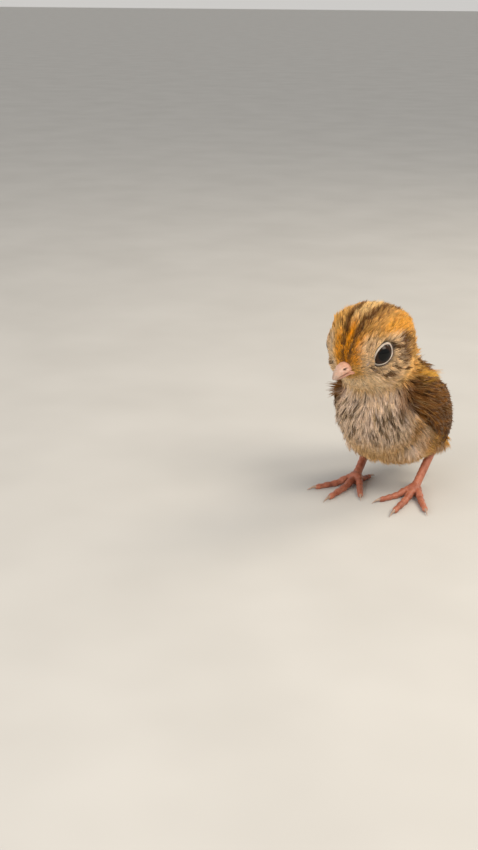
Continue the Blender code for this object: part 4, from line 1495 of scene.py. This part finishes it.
@dataclass
class Lid:
    """The rim of skin round an eye: a pale lip on the eyeball, a dark line and an outer fold."""

    anatomy: Anatomy
    side: Side
    half_length: float = 2.48
    half_height: float = 1.62
    slant: float = math.radians(42)
    clearance: float = 0.04
    width: float = 0.92
    steps: int = 120

    PALE: Rgb = (0.58, 0.49, 0.41)
    LINE: Rgb = (0.060, 0.042, 0.032)
    FOLD: Rgb = (0.30, 0.21, 0.14)
    # Each point of the rim: how far out along the eyeball, how far off it, and its colour
    PROFILE = (
        (-0.02, -0.12, LINE),
        (-0.05, 0.01, PALE),
        (0.00, 0.10, PALE),
        (0.09, 0.15, PALE),
        (0.18, 0.16, PALE),
        (0.27, 0.10, PALE),
        (0.34, 0.03, LINE),
        (0.41, 0.03, LINE),
        (0.49, 0.11, FOLD),
        (0.57, 0.12, FOLD),
        (0.66, -0.03, FOLD),
        (0.78, -0.28, FOLD),
        (0.92, -0.52, FOLD),
        (0.92, -0.85, FOLD),
        (0.35, -0.60, FOLD),
    )

    def axes(self) -> Tuple[ndarray, ndarray, ndarray, ndarray]:
        """The eye's centre, and the lid's axes forward, up and outward, in the part's frame."""
        centre, aim = self.anatomy.eye(self.side)
        up = rows(0, 0, 1)
        forward = unit(rows(0, -1, 0) - aim * (aim @ rows(0, -1, 0)))
        up = unit(up - aim * (up @ aim) - forward * (up @ forward))
        head = self.anatomy.head
        return head.leave(centre[None])[0], head.aim(forward), head.aim(up), head.aim(aim)

    def rim(self, turn: float, grow: float) -> Tuple[ndarray, ndarray]:
        """A place on the lid's outline.

        Args:
            turn: the way round, in radians.
            grow: how far outside the opening, in millimetres.

        Returns:
            The direction from the eye's centre, and the outward direction along the eyeball.
        """
        _, forward, up, aim = self.axes()
        pinch = 1.0 - 0.16 * abs(math.cos(turn)) ** 3
        a = (self.half_length + grow * 0.92) * math.cos(turn)
        b = (self.half_height * pinch + grow) * math.sin(turn)
        x = a * math.cos(self.slant) + b * math.sin(self.slant)
        y = b * math.cos(self.slant) - a * math.sin(self.slant)
        flat = forward * x + up * y
        radius = self.anatomy.eye_radius + self.clearance
        reach = min(float(flat @ flat), radius**2 * 0.98)
        flat = flat * math.sqrt(reach / max(float(flat @ flat), 1e-9))
        return unit(flat + aim * math.sqrt(radius**2 - reach)), unit(flat)

    def beyond(self, places: ndarray) -> ndarray:
        """How far outside the lid's opening each place lies.

        Args:
            places: rows of places in the part's frame.

        Returns:
            Millimetres across the view along the eye's axis, and 99 behind the eye.
        """
        centre, forward, up, aim = self.axes()
        from_eye = places - centre
        x, y = from_eye @ forward, from_eye @ up
        a = x * math.cos(self.slant) - y * math.sin(self.slant)
        b = x * math.sin(self.slant) + y * math.cos(self.slant)
        share = np.maximum(np.hypot(a / self.half_length, b / self.half_height), 1e-6)
        gap = np.hypot(a, b) * (1.0 - 1.0 / share)
        return np.where(from_eye @ aim > 0.8, gap, 99.0)

    def socket(self, places: ndarray) -> ndarray:
        """The skin's places with those under the lid drawn back behind the eyeball."""
        centre = self.axes()[0]
        from_eye = places - centre
        reach = np.linalg.norm(from_eye, axis=1)
        kept = ease(self.width - 0.36, self.width + 0.10, self.beyond(places))
        drawn = np.minimum(reach, mix(self.anatomy.eye_radius - 0.30, reach, kept))
        return centre + from_eye * (drawn / np.maximum(reach, 1e-6))[:, None]

    def level(self, direction: ndarray, skin: BVHTree) -> float:
        """How far from the eye's centre the skin lies in a direction, within what the lid can span."""
        centre = self.axes()[0]
        hit = skin.ray_cast(Vector(centre + direction * 9.0) * MM, Vector(-direction))[0]
        reach = np.linalg.norm(np.array(hit) / MM - centre) if hit else self.anatomy.eye_radius
        return float(np.clip(reach, self.anatomy.eye_radius + 0.02, self.anatomy.eye_radius + 1.6))

    def build(self, skin: BVHTree) -> Object:
        """The closed rim, which hugs the eyeball and rises outwards to the skin.

        Args:
            skin: the skin's surface.

        Returns:
            The lid, fine enough to show its lip, its dark line and its fold.
        """
        centre = self.axes()[0]
        mesh = bmesh.new()
        radius = self.anatomy.eye_radius + self.clearance
        grid = []
        wrinkle = Mottle(SEED + 9, 0.5)
        for i in range(self.steps):
            turn = 2.0 * math.pi * i / self.steps
            rise = self.level(self.rim(turn, self.width)[0], skin) - radius
            ring = []
            for out, off, _ in self.PROFILE:
                direction, _ = self.rim(turn, out)
                place = centre + direction * (radius + off + rise * float(ease(0.34, 0.86, out)))
                place = place + direction * 0.05 * float(wrinkle.at(place[None])[0]) * (off > 0)
                ring.append(mesh.verts.new(Vector(place) * MM))
            grid.append(ring)
        points = len(self.PROFILE)
        for i in range(self.steps):
            near, far = grid[i], grid[(i + 1) % self.steps]
            for k in range(points):
                n = (k + 1) % points
                mesh.faces.new((near[k], near[n], far[n], far[k]))
        bmesh.ops.recalc_face_normals(mesh, faces=mesh.faces)
        made = bpy.data.meshes.new("lid_" + self.side.label)
        mesh.to_mesh(made)
        mesh.free()
        shades = np.array([colour for _, _, colour in self.PROFILE] * self.steps)
        spots = np.array([vertex.co for vertex in made.vertices]) / MM
        shades = shades * np.clip(0.86 + 0.30 * Mottle(SEED + 12, 1.1).at(spots), 0.5, 1.1)[:, None]
        obj = Bench.placed(made.name, made)
        paint(obj, shades)
        finish = BareSkinFinish("lid_skin_" + self.side.label, None, cell=0.22, depth=0.03, roughness=0.42)
        obj.data.materials.append(finish.make())
        return Bench.rounded(obj, 70.0)


@dataclass
class Eye:
    """An eyeball with a cornea that stands a little proud."""

    anatomy: Anatomy
    side: Side
    cornea: float = 0.16

    def build(self) -> Object:
        """The eyeball, wet and dark."""
        centre, aim = self.anatomy.eye(self.side)
        centre = self.anatomy.head.leave(centre[None])[0]
        aim = self.anatomy.head.aim(aim)
        radius = self.anatomy.eye_radius
        Bench.clear()
        bpy.ops.mesh.primitive_uv_sphere_add(segments=64, ring_count=40, radius=radius * MM)
        obj = Bench.named("eyeball_" + self.side.label)
        for vertex in obj.data.vertices:
            front = ease(0.62, 1.0, vertex.co.normalized().z)
            vertex.co *= 1.0 + self.cornea / radius * front
        turn = Vector(aim).to_track_quat("Z", "Y").to_matrix().to_4x4()
        obj.data.transform(Matrix.Translation(Vector(centre) * MM) @ turn)
        name = "wet_eye_" + self.side.label
        obj.data.materials.append(EyeFinish(name, Vector(centre) * MM, Vector(aim), radius * MM).make())
        Bench.rounded(obj, 60.0)
        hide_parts("eye_" + self.side.label)
        return obj


@dataclass
class Bill:
    """The two halves of the bill, each a lofted horn with its edges, nostrils and tip."""

    head: HeadFrame
    face: float = 9.5
    gap: float = 0.3
    rise: float = -1.6
    root: float = 1.1
    upper_length: float = 4.1
    lower_length: float = 3.3
    sides: int = 64
    steps: int = 56
    FLESH: Rgb = (0.62, 0.34, 0.24)
    FLESH_DEEP: Rgb = (0.40, 0.15, 0.10)
    HORN: Rgb = (0.46, 0.30, 0.22)
    TIP: Rgb = (0.26, 0.19, 0.15)
    # Painted shade inside the nostrils
    NOSTRIL_SHADE: Rgb = (0.030, 0.018, 0.014)
    # Shares of the length, half width, top and bottom in millimetres
    UPPER = (
        (0, 1.72, 1.42, -0.50),
        (0.3, 1.54, 1.22, -0.54),
        (0.62, 1.14, 0.66, -0.70),
        (0.86, 0.70, -0.08, -0.96),
        (1, 0.30, -0.72, -1.16),
    )
    LOWER = (
        (0, 1.56, -0.57, -1.74),
        (0.35, 1.38, -0.62, -1.73),
        (0.7, 0.96, -0.77, -1.62),
        (1, 0.36, -0.99, -1.42),
    )
    # The nostril's middle, behind and up, and its half sizes
    NOSTRIL = (-10.95, -1.13, 0.46, 0.17)

    def half(self, name: str, stations: Sequence[Sequence[float]], length: float, upper: bool) -> Object:
        """One half of the bill.

        Args:
            name: the piece's name.
            stations: shares of the length with half width, top and bottom.
            length: its length in millimetres.
            upper: whether it is the half with the nostrils.

        Returns:
            The piece, rooted in the face.
        """
        table = np.array(stations, float)
        rings = []
        for i in range(self.steps + 1):
            t = -self.root / length + (1.0 + self.root / length) * i / self.steps
            share = max(t, 0.0)
            half, top, low = (float(np.interp(share, table[:, 0], table[:, c])) for c in (1, 2, 3))
            if t < 0:
                half, top, low = half * (1 + 0.3 * t), top * (1 + 0.5 * t), low * (1 + 0.2 * t)
            end = math.sqrt(max(1.0 - max((t - 0.93) / 0.075, 0.0) ** 2, 0.02))
            ring = []
            for k in range(self.sides):
                roll = 2.0 * math.pi * k / self.sides
                split = 0.16 if upper else 0.84
                middle = low + (top - low) * split
                rise = (top - middle) if math.sin(roll) > 0 else (middle - low)
                round_out = abs(math.sin(roll)) ** (1.18 if upper else 0.95)
                x = half * math.cos(roll) * end
                z = middle + rise * math.copysign(round_out, math.sin(roll)) * end
                y = -self.face - self.gap - length * t
                if upper:
                    x *= 1.0 - self.nostril(y, z + self.rise) * 0.26
                ring.append((x, y, self.rise + z))
            rings.append(self.head.leave(np.array(ring)))
        return self.coloured(Bench.rounded(Bench.swept(name, rings), 60.0))

    def coloured(self, obj: Object) -> Object:
        """Give the horn its tones: pink at the root, greyer to the tip, and painted shade in the nostrils.
        """
        places = np.array([vertex.co for vertex in obj.data.vertices]) / MM
        head = self.head.enter(places)
        onward = ease(-9.6, -13.6, head[:, 1])
        tone = blend(self.FLESH, self.HORN, onward)
        tone = blend(tone, self.TIP, ease(-12.9, -13.9, head[:, 1]) * 0.6)
        hole = self.hole(head[:, 1], head[:, 2]) * ease(0.6, 1.0, np.abs(head[:, 0]))
        # Painted shade: the nostrils are darkened inside
        tone = blend(tone, self.NOSTRIL_SHADE, np.clip(hole * 1.5, 0.0, 0.95))
        edge = bell(head[:, 2] - self.rise, -0.72 - 0.42 * onward, 0.16) * ease(-13.4, -12.2, head[:, 1])
        tone = blend(tone, self.FLESH_DEEP, edge * 0.55)
        paint(obj, tone)
        return obj

    def hole(self, y: Any, z: Any) -> Any:
        """1 in the middle of a nostril, 0 away from it."""
        behind, up, half_length, half_height = self.NOSTRIL
        return bell(y, behind, half_length) * bell(z, up, half_height)

    def nostril(self, y: float, z: float) -> float:
        """How far the horn sinks at a nostril, under its swollen lid."""
        lid = bell(y, self.NOSTRIL[0], 0.70) * bell(z, -0.80, 0.24)
        return float(1.5 * self.hole(y, z) - 0.5 * lid)

    def build(self) -> List[Object]:
        """Both halves."""
        finish = HornFinish("bill_horn").make()
        pieces = []
        halves = (("upper", self.UPPER, self.upper_length), ("lower", self.LOWER, self.lower_length))
        for name, stations, length in halves:
            piece = self.half("horn_bill_" + name, stations, length, upper=name == "upper")
            piece.data.materials.append(finish)
            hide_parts("bill_" + name)
            pieces.append(piece)
        return pieces


@dataclass
class Gape:
    """The fleshy corner of the mouth on each side, where the line of the mouth ends."""

    head: HeadFrame
    steps: int = 26
    sides: int = 14
    OUTWARD = (1.0, -0.55, 0.0)
    FRONT: Rgb = (0.62, 0.31, 0.21)
    BACK: Rgb = (0.58, 0.32, 0.20)
    # Along the mouth's line: out, behind, up, and half its thickness
    LINE = (
        (1.16, -10.3, -2.28, 0.24),
        (1.48, -9.85, -2.32, 0.32),
        (1.74, -9.50, -2.40, 0.32),
        (1.96, -9.20, -2.50, 0.22),
        (2.06, -8.90, -2.60, 0.06),
    )

    def lip(self, side: Side, upper: bool) -> Object:
        """One lip of the corner, above or below the line of the mouth."""
        table = np.array(self.LINE)
        at = np.linspace(0.0, len(table) - 1.0, self.steps)
        line = np.stack([np.interp(at, np.arange(len(table)), table[:, c]) for c in range(4)], axis=1)
        rings = []
        for i, (x, y, z, half) in enumerate(line):
            ahead = line[min(i + 1, len(line) - 1), :3] - line[max(i - 1, 0), :3]
            onward = unit(ahead)
            out = unit(rows(*self.OUTWARD) - onward * (rows(*self.OUTWARD) @ onward))
            over = np.cross(onward, out)
            roll = 2.0 * math.pi * np.arange(self.sides) / self.sides
            centre = rows(x, y, z + (0.62 if upper else -0.62) * half)
            ring = centre + np.outer(np.cos(roll) * half * 1.15, out)
            ring = ring + np.outer(np.sin(roll) * half * 0.55, over)
            rings.append(self.head.leave(ring * rows(side.value, 1, 1)))
        return Bench.swept("lip", rings)

    def build(self) -> Object:
        """Both corners in one piece."""
        lips = [self.lip(side, upper) for side in Side for upper in (True, False)]
        piece = Bench.joined("mouth_corners", lips)
        places = np.array([vertex.co for vertex in piece.data.vertices]) / MM
        back = ease(-10.2, -8.4, self.head.enter(places)[:, 1])
        paint(piece, blend(self.FRONT, self.BACK, back))
        finish = BareSkinFinish("mouth_corner_skin", None, cell=0.18, depth=0.02, roughness=0.4)
        piece.data.materials.append(finish.make())
        return Bench.rounded(piece, 60.0)


@dataclass
class Foot:
    """A bare shank, its four toes with scutes and pads, and their claws."""

    anatomy: Anatomy
    side: Side
    shank_radius: float = 1.05
    ball: Place = (1.75, 1.65, 1.6)
    voxel: float = 0.13
    shank_steps: int = 84
    toe_steps: int = 72
    claw_steps: int = 14
    # The height of a toe's axis over the floor, as a share of its radius
    rest: float = 0.80
    # The legs' own pinkish skin colour, darkened and reddened as painted shade
    SHADED_LEG_SKIN: Rgb = (0.42, 0.150, 0.088)
    CLAW: Rgb = (0.36, 0.25, 0.185)
    # Each toe: its root beside the ball, splay, length, radius and the claw's length
    TOES = (
        ("inner", (-1.2, -0.5, 0.0), -28.0, 8.2, 0.82, 1.8),
        ("middle", (0.0, -0.6, 0.0), 3.0, 11.8, 0.88, 2.2),
        ("outer", (1.2, -0.5, 0.0), 34.0, 9.2, 0.82, 1.9),
        ("hind", (-0.35, 0.6, 0.25), 192.0, 4.7, 0.72, 1.5),
    )

    def build(self) -> List[Object]:
        """The foot in one skin, and its claws."""
        parts = [self.shank(), Bench.ball("ball", self.at(self.anatomy.ankle), self.ball)]
        parts += [self.toe(toe) for toe in self.TOES]
        label = self.side.label
        foot = Bench.joined("foot_" + label, parts)
        Bench.modify(foot, "REMESH", mode="VOXEL", voxel_size=self.voxel * MM, use_smooth_shade=True)
        Bench.modify(foot, "SMOOTH", factor=0.5, iterations=2)
        for vertex in foot.data.vertices:
            vertex.co.z = max(vertex.co.z, 0.0)
        foot.data.materials.clear()
        finish = BareSkinFinish("foot_skin_" + label, self.SHADED_LEG_SKIN, cell=0.30, depth=0.045)
        foot.data.materials.append(finish.make())
        Bench.rounded(foot, 80.0)
        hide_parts("shank_" + label, *["toe_%s_%s" % (toe[0], label) for toe in self.TOES])
        claws = Bench.joined("horn_claws_" + label, [self.claw(toe) for toe in self.TOES])
        paint(claws, np.tile(rows(*self.CLAW), (len(claws.data.vertices), 1)))
        claws.data.materials.append(HornFinish("claw_horn_" + label).make())
        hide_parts(*["claw_%s_%s" % (toe[0], label) for toe in self.TOES])
        return [foot, Bench.rounded(claws, 50.0)]

    def at(self, place: Sequence[float]) -> ndarray:
        """A place of the left foot, on this side."""
        return self.anatomy.beside(place, self.side)

    @staticmethod
    def ring(
        centre: ndarray, axes: Tuple[ndarray, ndarray], halves: Pair, scute: float, sides: int
    ) -> ndarray:
        """An oval ring that stays above the floor.

        Args:
            centre: its middle.
            axes: the directions across it and up.
            halves: its half sizes along them.
            scute: the share by which its upper half is raised.
            sides: how many places it has.

        Returns:
            The places in millimetres.
        """
        roll = 2.0 * math.pi * (np.arange(sides) + 0.5) / sides
        lift = 1.0 + scute * ease(-0.1, 0.45, np.sin(roll))
        aside = np.outer(np.cos(roll) * halves[0] * lift, axes[0])
        ring = centre + aside + np.outer(np.sin(roll) * halves[1] * lift, axes[1])
        ring[:, 2] = np.maximum(ring[:, 2], 0.0)
        return ring

    @staticmethod
    def scute(t: float, count: int, height: float) -> float:
        """The step of overlapping scutes along a length, rising to each edge and falling at once."""
        share = (t * count) % 1.0
        return height * (share**1.5) * (1.0 if share < 0.86 else (1.0 - share) / 0.14)

    def shank(self) -> Object:
        """The shank, from inside the thigh's down to the ball of the foot."""
        hock, ankle, knee = (self.at(p) for p in (self.anatomy.hock, self.anatomy.ankle, self.anatomy.knee))
        out = unit(hock - knee)
        start = hock - out * 2.2
        bend = hock + out * 1.5
        low = bend + (ankle - bend) * 0.10
        path = [start + (hock - start) * s for s in (0.0, 0.5, 1.0)]
        path += [(1 - s) ** 2 * hock + 2 * s * (1 - s) * bend + s * s * low for s in (0.35, 0.6, 0.85)]
        bends = len(path)
        steps = self.shank_steps
        path += [low + (ankle - low) * i / steps for i in range(steps + 1)]
        rings = []
        for i, centre in enumerate(path):
            onward = unit(path[min(i + 1, len(path) - 1)] - path[max(i - 1, 0)])
            across = unit(rows(1, 0, 0) - onward * onward[0])
            upward = np.cross(onward, across)
            if upward[1] > 0:
                upward = -upward
            t = max(i - bends, 0) / steps
            swell = 1.45 - 0.45 * float(ease(0.0, 0.22, t)) + 0.15 * float(ease(0.8, 1.0, t))
            radius = self.shank_radius * swell
            scute = self.scute(t, 11, 0.13) if i > bends else 0.0
            rings.append(self.ring(centre, (across, upward), (radius * 0.86, radius * 1.04), scute, 24))
        return Bench.swept("shank", rings)

    def toe(self, toe: Sequence[Any]) -> Object:
        """One toe, flat on the floor, with scutes above and pads below."""
        _, offset, splay, length, radius, _ = toe
        root, aim, across = self.line(offset, splay)
        rest = radius * self.rest
        rings = []
        for i in range(self.toe_steps + 1):
            t = i / self.toe_steps
            pads = 1.0 + 0.10 * math.cos(2.0 * math.pi * t * 4.5)
            half = radius * (1.0 - 0.34 * t) * pads
            sink = float(ease(0.0, 1.0 / 2.2, t))
            centre = root + aim * length * t
            centre[2] = root[2] * (1 - sink) + rest * (1.0 - 0.28 * t) * sink
            end = math.sqrt(max(1.0 - max((t - 0.95) / 0.055, 0.0) ** 2, 0.05))
            rise = half * (1.0 + 0.04 * math.sin(math.pi * t))
            scute = self.scute(t, round(length * 1.15), 0.14)
            rings.append(self.ring(centre, (across, rows(0, 0, 1)), (half * end, rise * end), scute, 24))
        return Bench.swept("toe", rings)

    def claw(self, toe: Sequence[Any]) -> Object:
        """The claw at a toe's end, curved and pointed, sunk into the toe."""
        _, offset, splay, length, radius, reach = toe
        root, aim, across = self.line(offset, splay)
        height = radius * self.rest * 0.80
        rings = []
        for i in range(self.claw_steps + 1):
            t = i / self.claw_steps
            size = radius * 0.52 * (1.0 - 0.92 * t**1.35)
            centre = root + aim * (length - 0.7 + (reach + 0.95) * t)
            centre[2] = height + 0.16 * math.sin(math.pi * t) - 0.40 * t**2
            rings.append(self.ring(centre, (across, rows(0, 0, 1)), (size * 0.72, size), 0.0, 16))
        return Bench.swept("claw", rings)

    def line(self, offset: Sequence[float], splay: float) -> Tuple[ndarray, ndarray, ndarray]:
        """A toe's root, its direction and the direction across it."""
        angle = math.radians(splay)
        root = self.at(np.array(self.anatomy.ankle) + np.array(offset))
        aim = rows(math.sin(angle) * self.side.value, -math.cos(angle), 0.0)
        return root, aim, np.cross(rows(0, 0, 1), aim)


@dataclass
class Plumage:
    """The young feathers of a folded wing: quills with rows of barbs, in two tiers."""

    plane: WingPlane
    coat: Coat
    side: Side
    flights: int = 10
    coverts: int = 8
    barbs: int = 44
    stations: int = 16
    barb_width: float = 0.25
    barb_thickness: float = 0.08
    # A barb's section: shares of half its width, and of its thickness
    BARB = ((1.0, 0.0), (0.0, 1.0), (-1.0, -0.25))
    # The quill's section in millimetres
    QUILL = ((0.11, 0.0), (0.0, 0.17), (-0.11, 0.0))

    def build(self) -> Object:
        """All the wing's feathers in one piece."""
        rng = np.random.default_rng(SEED + 40 + self.side.value)
        rings, tips, tones, unwrap = [], [], [], []
        for number, (root, tip, width, lift) in enumerate(self.layout()):
            line, normals = self.quill_line(root, tip, lift)
            made = self.feather(rng, line, normals, width, number)
            for store, values in zip((rings, tips, tones, unwrap), made):
                store.append(values)
        blades = [np.concatenate(stored) for stored in (rings, tips, tones, unwrap)]
        piece = Spikes("wing_feathers_" + self.side.label).mesh(*blades)
        piece.data.materials.append(DownFinish("vane_" + self.side.label, 0.6, 0.15).make())
        return piece

    def layout(self) -> List[Tuple[Pair, Pair, float, Pair]]:
        """The feathers of both tiers, the flight feathers first.

        Returns:
            Root and tip of each on the wing's own plane, its width, and its lift at both ends.
        """
        feathers = []
        for i in range(self.flights):
            t = i / (self.flights - 1)
            root = (8.6 - 4.6 * t, -2.2 + 5.2 * t)
            tip = (20.8 - 9.0 * t**1.15, -1.6 + 8.2 * t)
            feathers.append((root, self.ragged(root, tip, i), 2.3, (0.45, 1.0 - 0.6 * t)))
        for i in range(self.coverts):
            t = i / (self.coverts - 1)
            root = (3.6 - 2.6 * t, -3.0 + 5.8 * t)
            tip = (13.4 - 5.0 * t, -3.4 + 9.2 * t)
            feathers.append((root, self.ragged(root, tip, i + 3), 2.0, (0.90, 0.65)))
        return feathers

    @staticmethod
    def ragged(root: Pair, tip: Pair, number: int) -> Pair:
        """The tip of a feather, a little further out or in than its neighbours'."""
        reach = 1.0 + 0.07 * math.sin(number * 2.4)
        return root[0] + (tip[0] - root[0]) * reach, root[1] + (tip[1] - root[1]) * reach

    def quill_line(self, root: Pair, tip: Pair, lift: Pair) -> Tuple[ndarray, ndarray]:
        """The places and normals of a quill's line over the flank."""
        line, normals = [], []
        for i in range(self.stations):
            t = i / (self.stations - 1)
            a = root[0] + (tip[0] - root[0]) * t
            b = root[1] + (tip[1] - root[1]) * t + 0.5 * math.sin(math.pi * t)
            place, normal = self.plane.place(self.side, a, b, lift[0] + (lift[1] - lift[0]) * t)
            line.append(place)
            normals.append(normal)
        return np.array(line), unit(np.array(normals))

    def feather(
        self, rng: Generator, line: ndarray, normals: ndarray, width: float, number: int
    ) -> Tuple[ndarray, ...]:
        """The blades of one feather.

        Args:
            rng: the seeded source of chance.
            line: the quill's line.
            normals: the normals along it.
            width: the whole vane's width in millimetres.
            number: which feather of the wing it is.

        Returns:
            Rings, tips, tones and places on the bake map for its quill and barbs.
        """
        grid = np.linspace(0.0, 1.0, len(line))
        count = self.barbs
        t = np.linspace(0.10, 0.99, count)

        def along(values: ndarray, at: ndarray) -> ndarray:
            """The line's values at shares of its length."""
            return np.stack([np.interp(at, grid, values[:, c]) for c in range(3)], axis=1)

        place, normal = along(line, t), unit(along(normals, t))
        onward = unit(along(line, np.minimum(t + 0.03, 1.0)) - along(line, t - 0.03))
        across = unit(np.cross(normal, onward))
        normal = unit(np.cross(onward, across))
        rounded = np.sqrt(np.clip(1.0 - ease(0.55, 1.06, t) ** 1.3, 0.04, 1))
        full = width / 2.0 * (0.42 + 0.58 * ease(0.05, 0.35, t)) * rounded
        sets = []
        for turn in (1.0, -1.0):
            angle = np.radians(19.0 + 9.0 * (1 - t)) + rng.normal(0, 0.05, count)
            aim = onward * np.cos(angle)[:, None] + across * (turn * np.sin(angle))[:, None]
            reach = full / np.sin(angle) * rng.uniform(0.75, 1.15, count)
            tilt = -0.10 + 0.10 * turn
            end = place + (aim + normal * tilt) * reach[:, None] + onward * (reach * 0.12)[:, None]
            middle = place + (aim + normal * (tilt + 0.10)) * (reach * 0.5)[:, None]
            side = unit(np.cross(normal, aim))
            levels = []
            for centre, share in ((place, 1.0), (middle, 0.9)):
                corner = [
                    centre + side * (u * self.barb_width / 2 * share) + normal * (v * self.barb_thickness)
                    for u, v in self.BARB
                ]
                levels.append(np.stack(corner, axis=1))
            sets.append((np.stack(levels, axis=1), end, t, np.full(count, turn)))
        rings, tips, share, turns = (np.concatenate(values) for values in zip(*sets))
        barbs, quill = (rings, tips, self.barring(rng, share, number)), self.quill(line, normals)
        rings, tips, tones = (np.concatenate(values) for values in zip(barbs, quill))
        column, row = number % 6, number // 6
        spots = np.stack([column / 6.0 + 0.03 + share * 0.1, row / 4.0 + 0.12 + turns * 0.05], axis=1)
        extra = np.tile(rows(column / 6.0 + 0.08, row / 4.0 + 0.12), (len(quill[0]), 1))
        return rings, tips, tones, np.concatenate([spots, extra])

    def barring(self, rng: Generator, share: ndarray, number: int) -> ndarray:
        """Dark brown vanes with rufous-buff bars, edges and tips."""
        phase = 2.0 * math.pi * (share * 3.1 + 0.37 * number)
        bar = ease(0.35, 0.85, np.sin(phase)) * ease(0.1, 0.3, share)
        base = blend(self.coat.WING, self.coat.RUFOUS, bar * 0.35)
        base = blend(base, self.coat.RUFOUS, ease(0.86, 0.99, share) * 0.7)
        base = base * rng.uniform(0.8, 1.2, len(share))[:, None]
        edge = mix(base, np.array(self.coat.RUFOUS), 0.45)
        return np.clip(np.stack([base * 0.8, base, edge], axis=1), 0.0, 0.95)

    def quill(self, line: ndarray, normals: ndarray) -> Tuple[ndarray, ndarray, ndarray]:
        """The quill as a chain of short overlapping spikes."""
        starts, ends = line[:-2], line[2:]
        onward = unit(ends - starts)
        normal = normals[:-2]
        side = unit(np.cross(normal, onward))
        taper = np.linspace(1.0, 0.35, len(starts))[:, None]
        levels = []
        for share in (0.0, 0.5):
            centre = starts + (ends - starts) * share
            corner = [centre + side * u * taper + normal * v * taper for u, v in self.QUILL]
            levels.append(np.stack(corner, axis=1))
        tone = np.tile(np.array(self.coat.TAN) * 0.7, (len(starts), 3, 1))
        return np.stack(levels, axis=1), ends + normal * 0.05, tone


def outward(azimuth: float, elevation: float) -> Vector:
    """The direction from the chick, by radians round from its front to its left and up."""
    flat = math.cos(elevation)
    return Vector((math.sin(azimuth) * flat, -math.cos(azimuth) * flat, math.sin(elevation)))


@dataclass(frozen=True)
class Lamp:
    """A soft square lamp that looks at the chick: degrees round it and up, metres, and watts."""

    name: str
    azimuth: float
    elevation: float
    distance: float
    size: float
    watts: float
    colour: Rgb
    target: Place = (0.0, -0.004, 0.026)

    def build(self) -> None:
        """Hang the lamp."""
        data = bpy.data.lights.new(self.name, "AREA")
        data.size, data.energy, data.color = self.size, self.watts, self.colour
        lamp = Bench.placed(self.name, data)
        back = outward(math.radians(self.azimuth), math.radians(self.elevation))
        lamp.location = Vector(self.target) + back * self.distance
        lamp.rotation_euler = (-back).to_track_quat("-Z", "Y").to_euler()


@dataclass
class Studio:
    """A pale floor, soft light and the camera."""

    anatomy: Anatomy
    floor_size: float = 12.0
    azimuth: float = math.radians(25)
    elevation: float = math.radians(15)
    lens: float = 55.0
    pixels_per_mm: float = 4.57
    head_pixel: Pair = (369.7, 344.5)
    picture: Tuple[int, int] = (478, 850)
    aiming_rounds: int = 12
    backdrop: Tuple[float, float, float, float] = (0.90, 0.88, 0.85, 1.0)
    daylight: float = 0.68
    LAMPS = (
        Lamp("key", 78.0, 48.0, 0.42, 0.22, 1.15, (1.0, 0.90, 0.76)),
        Lamp("rim", 150.0, 42.0, 0.45, 0.20, 0.9, (1.0, 0.88, 0.72)),
        Lamp("fill", -15.0, 16.0, 0.50, 0.40, 1.7, (1.0, 0.97, 0.93)),
    )

    def build(self) -> None:
        """Set floor, world, lights and camera."""
        Bench.clear()
        bpy.ops.mesh.primitive_plane_add(size=self.floor_size, location=(0, 0, 0))
        floor = Bench.named("studio_floor")
        floor.data.transform(Matrix.Translation((0, 0, -0.02 * MM)))
        floor.data.materials.append(FloorFinish().make())
        bpy.context.scene.view_settings.view_transform = "Standard"
        world = bpy.data.worlds.new("studio")
        bpy.context.scene.world = world
        world.use_nodes = True
        background = world.node_tree.nodes["Background"]
        background.inputs["Color"].default_value = self.backdrop
        background.inputs["Strength"].default_value = self.daylight
        for lamp in self.LAMPS:
            lamp.build()
        self.camera()

    def camera(self) -> None:
        """Frame the head where the photograph has it."""
        data = bpy.data.cameras.new("camera")
        data.lens, data.sensor_width = self.lens, 36.0
        data.clip_start, data.clip_end = 0.01, 20.0
        camera = Bench.placed("camera", data)
        back = outward(self.azimuth, self.elevation)
        right = Vector((math.cos(self.azimuth), math.sin(self.azimuth), 0.0))
        up = back.cross(right)
        focal = self.lens / data.sensor_width * self.picture[1]
        head = Vector(self.anatomy.head.centre) * MM
        (across, down), (width, height) = self.head_pixel, self.picture
        wanted = Vector((across - width / 2, height / 2 - down))
        camera.location = head + back * (focal / self.pixels_per_mm * MM)
        shift = wanted.copy()
        for _ in range(self.aiming_rounds):
            aside = (right * shift.x + up * shift.y) / self.pixels_per_mm * MM
            turn = (head - aside - camera.location).to_track_quat("-Z", "Y")
            seen = turn.inverted() @ (head - camera.location)
            shift += wanted - Vector((seen.x, seen.y)) / -seen.z * focal
        camera.rotation_euler = turn.to_euler()
        bpy.context.scene.camera = camera


def main() -> None:
    """Dress the chick piece by piece."""
    logging.basicConfig(level=logging.INFO, format="%(message)s", stream=sys.stdout)
    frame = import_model()
    anatomy = Anatomy()
    coat = Coat(anatomy)

    maker = Skin(anatomy, coat)
    skin, grown, plane = maker.build(frame["nodes"])
    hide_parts(*maker.FLESH)
    pieces = [skin]
    log.info("skin: %d faces", len(skin.data.polygons))

    down = Down(coat, grown).build()
    pieces += down
    log.info("down: %d pieces, %d triangles", len(down), sum(len(p.data.polygons) for p in down))

    for side in Side:
        feathers = Plumage(plane, coat, side).build()
        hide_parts("wing_" + side.label)
        pieces += [feathers, Eye(anatomy, side).build(), Lid(anatomy, side).build(maker.tree)]
        pieces += Foot(anatomy, side).build()
        log.info("%s wing, eye, lid and foot", side.label)
    pieces += [*Bill(anatomy.head).build(), Gape(anatomy.head).build()]
    log.info("bill")

    for piece in pieces:
        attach(piece, BODY)
    Studio(anatomy).build()
    log.info("studio")


if __name__ == "__main__":
    main()
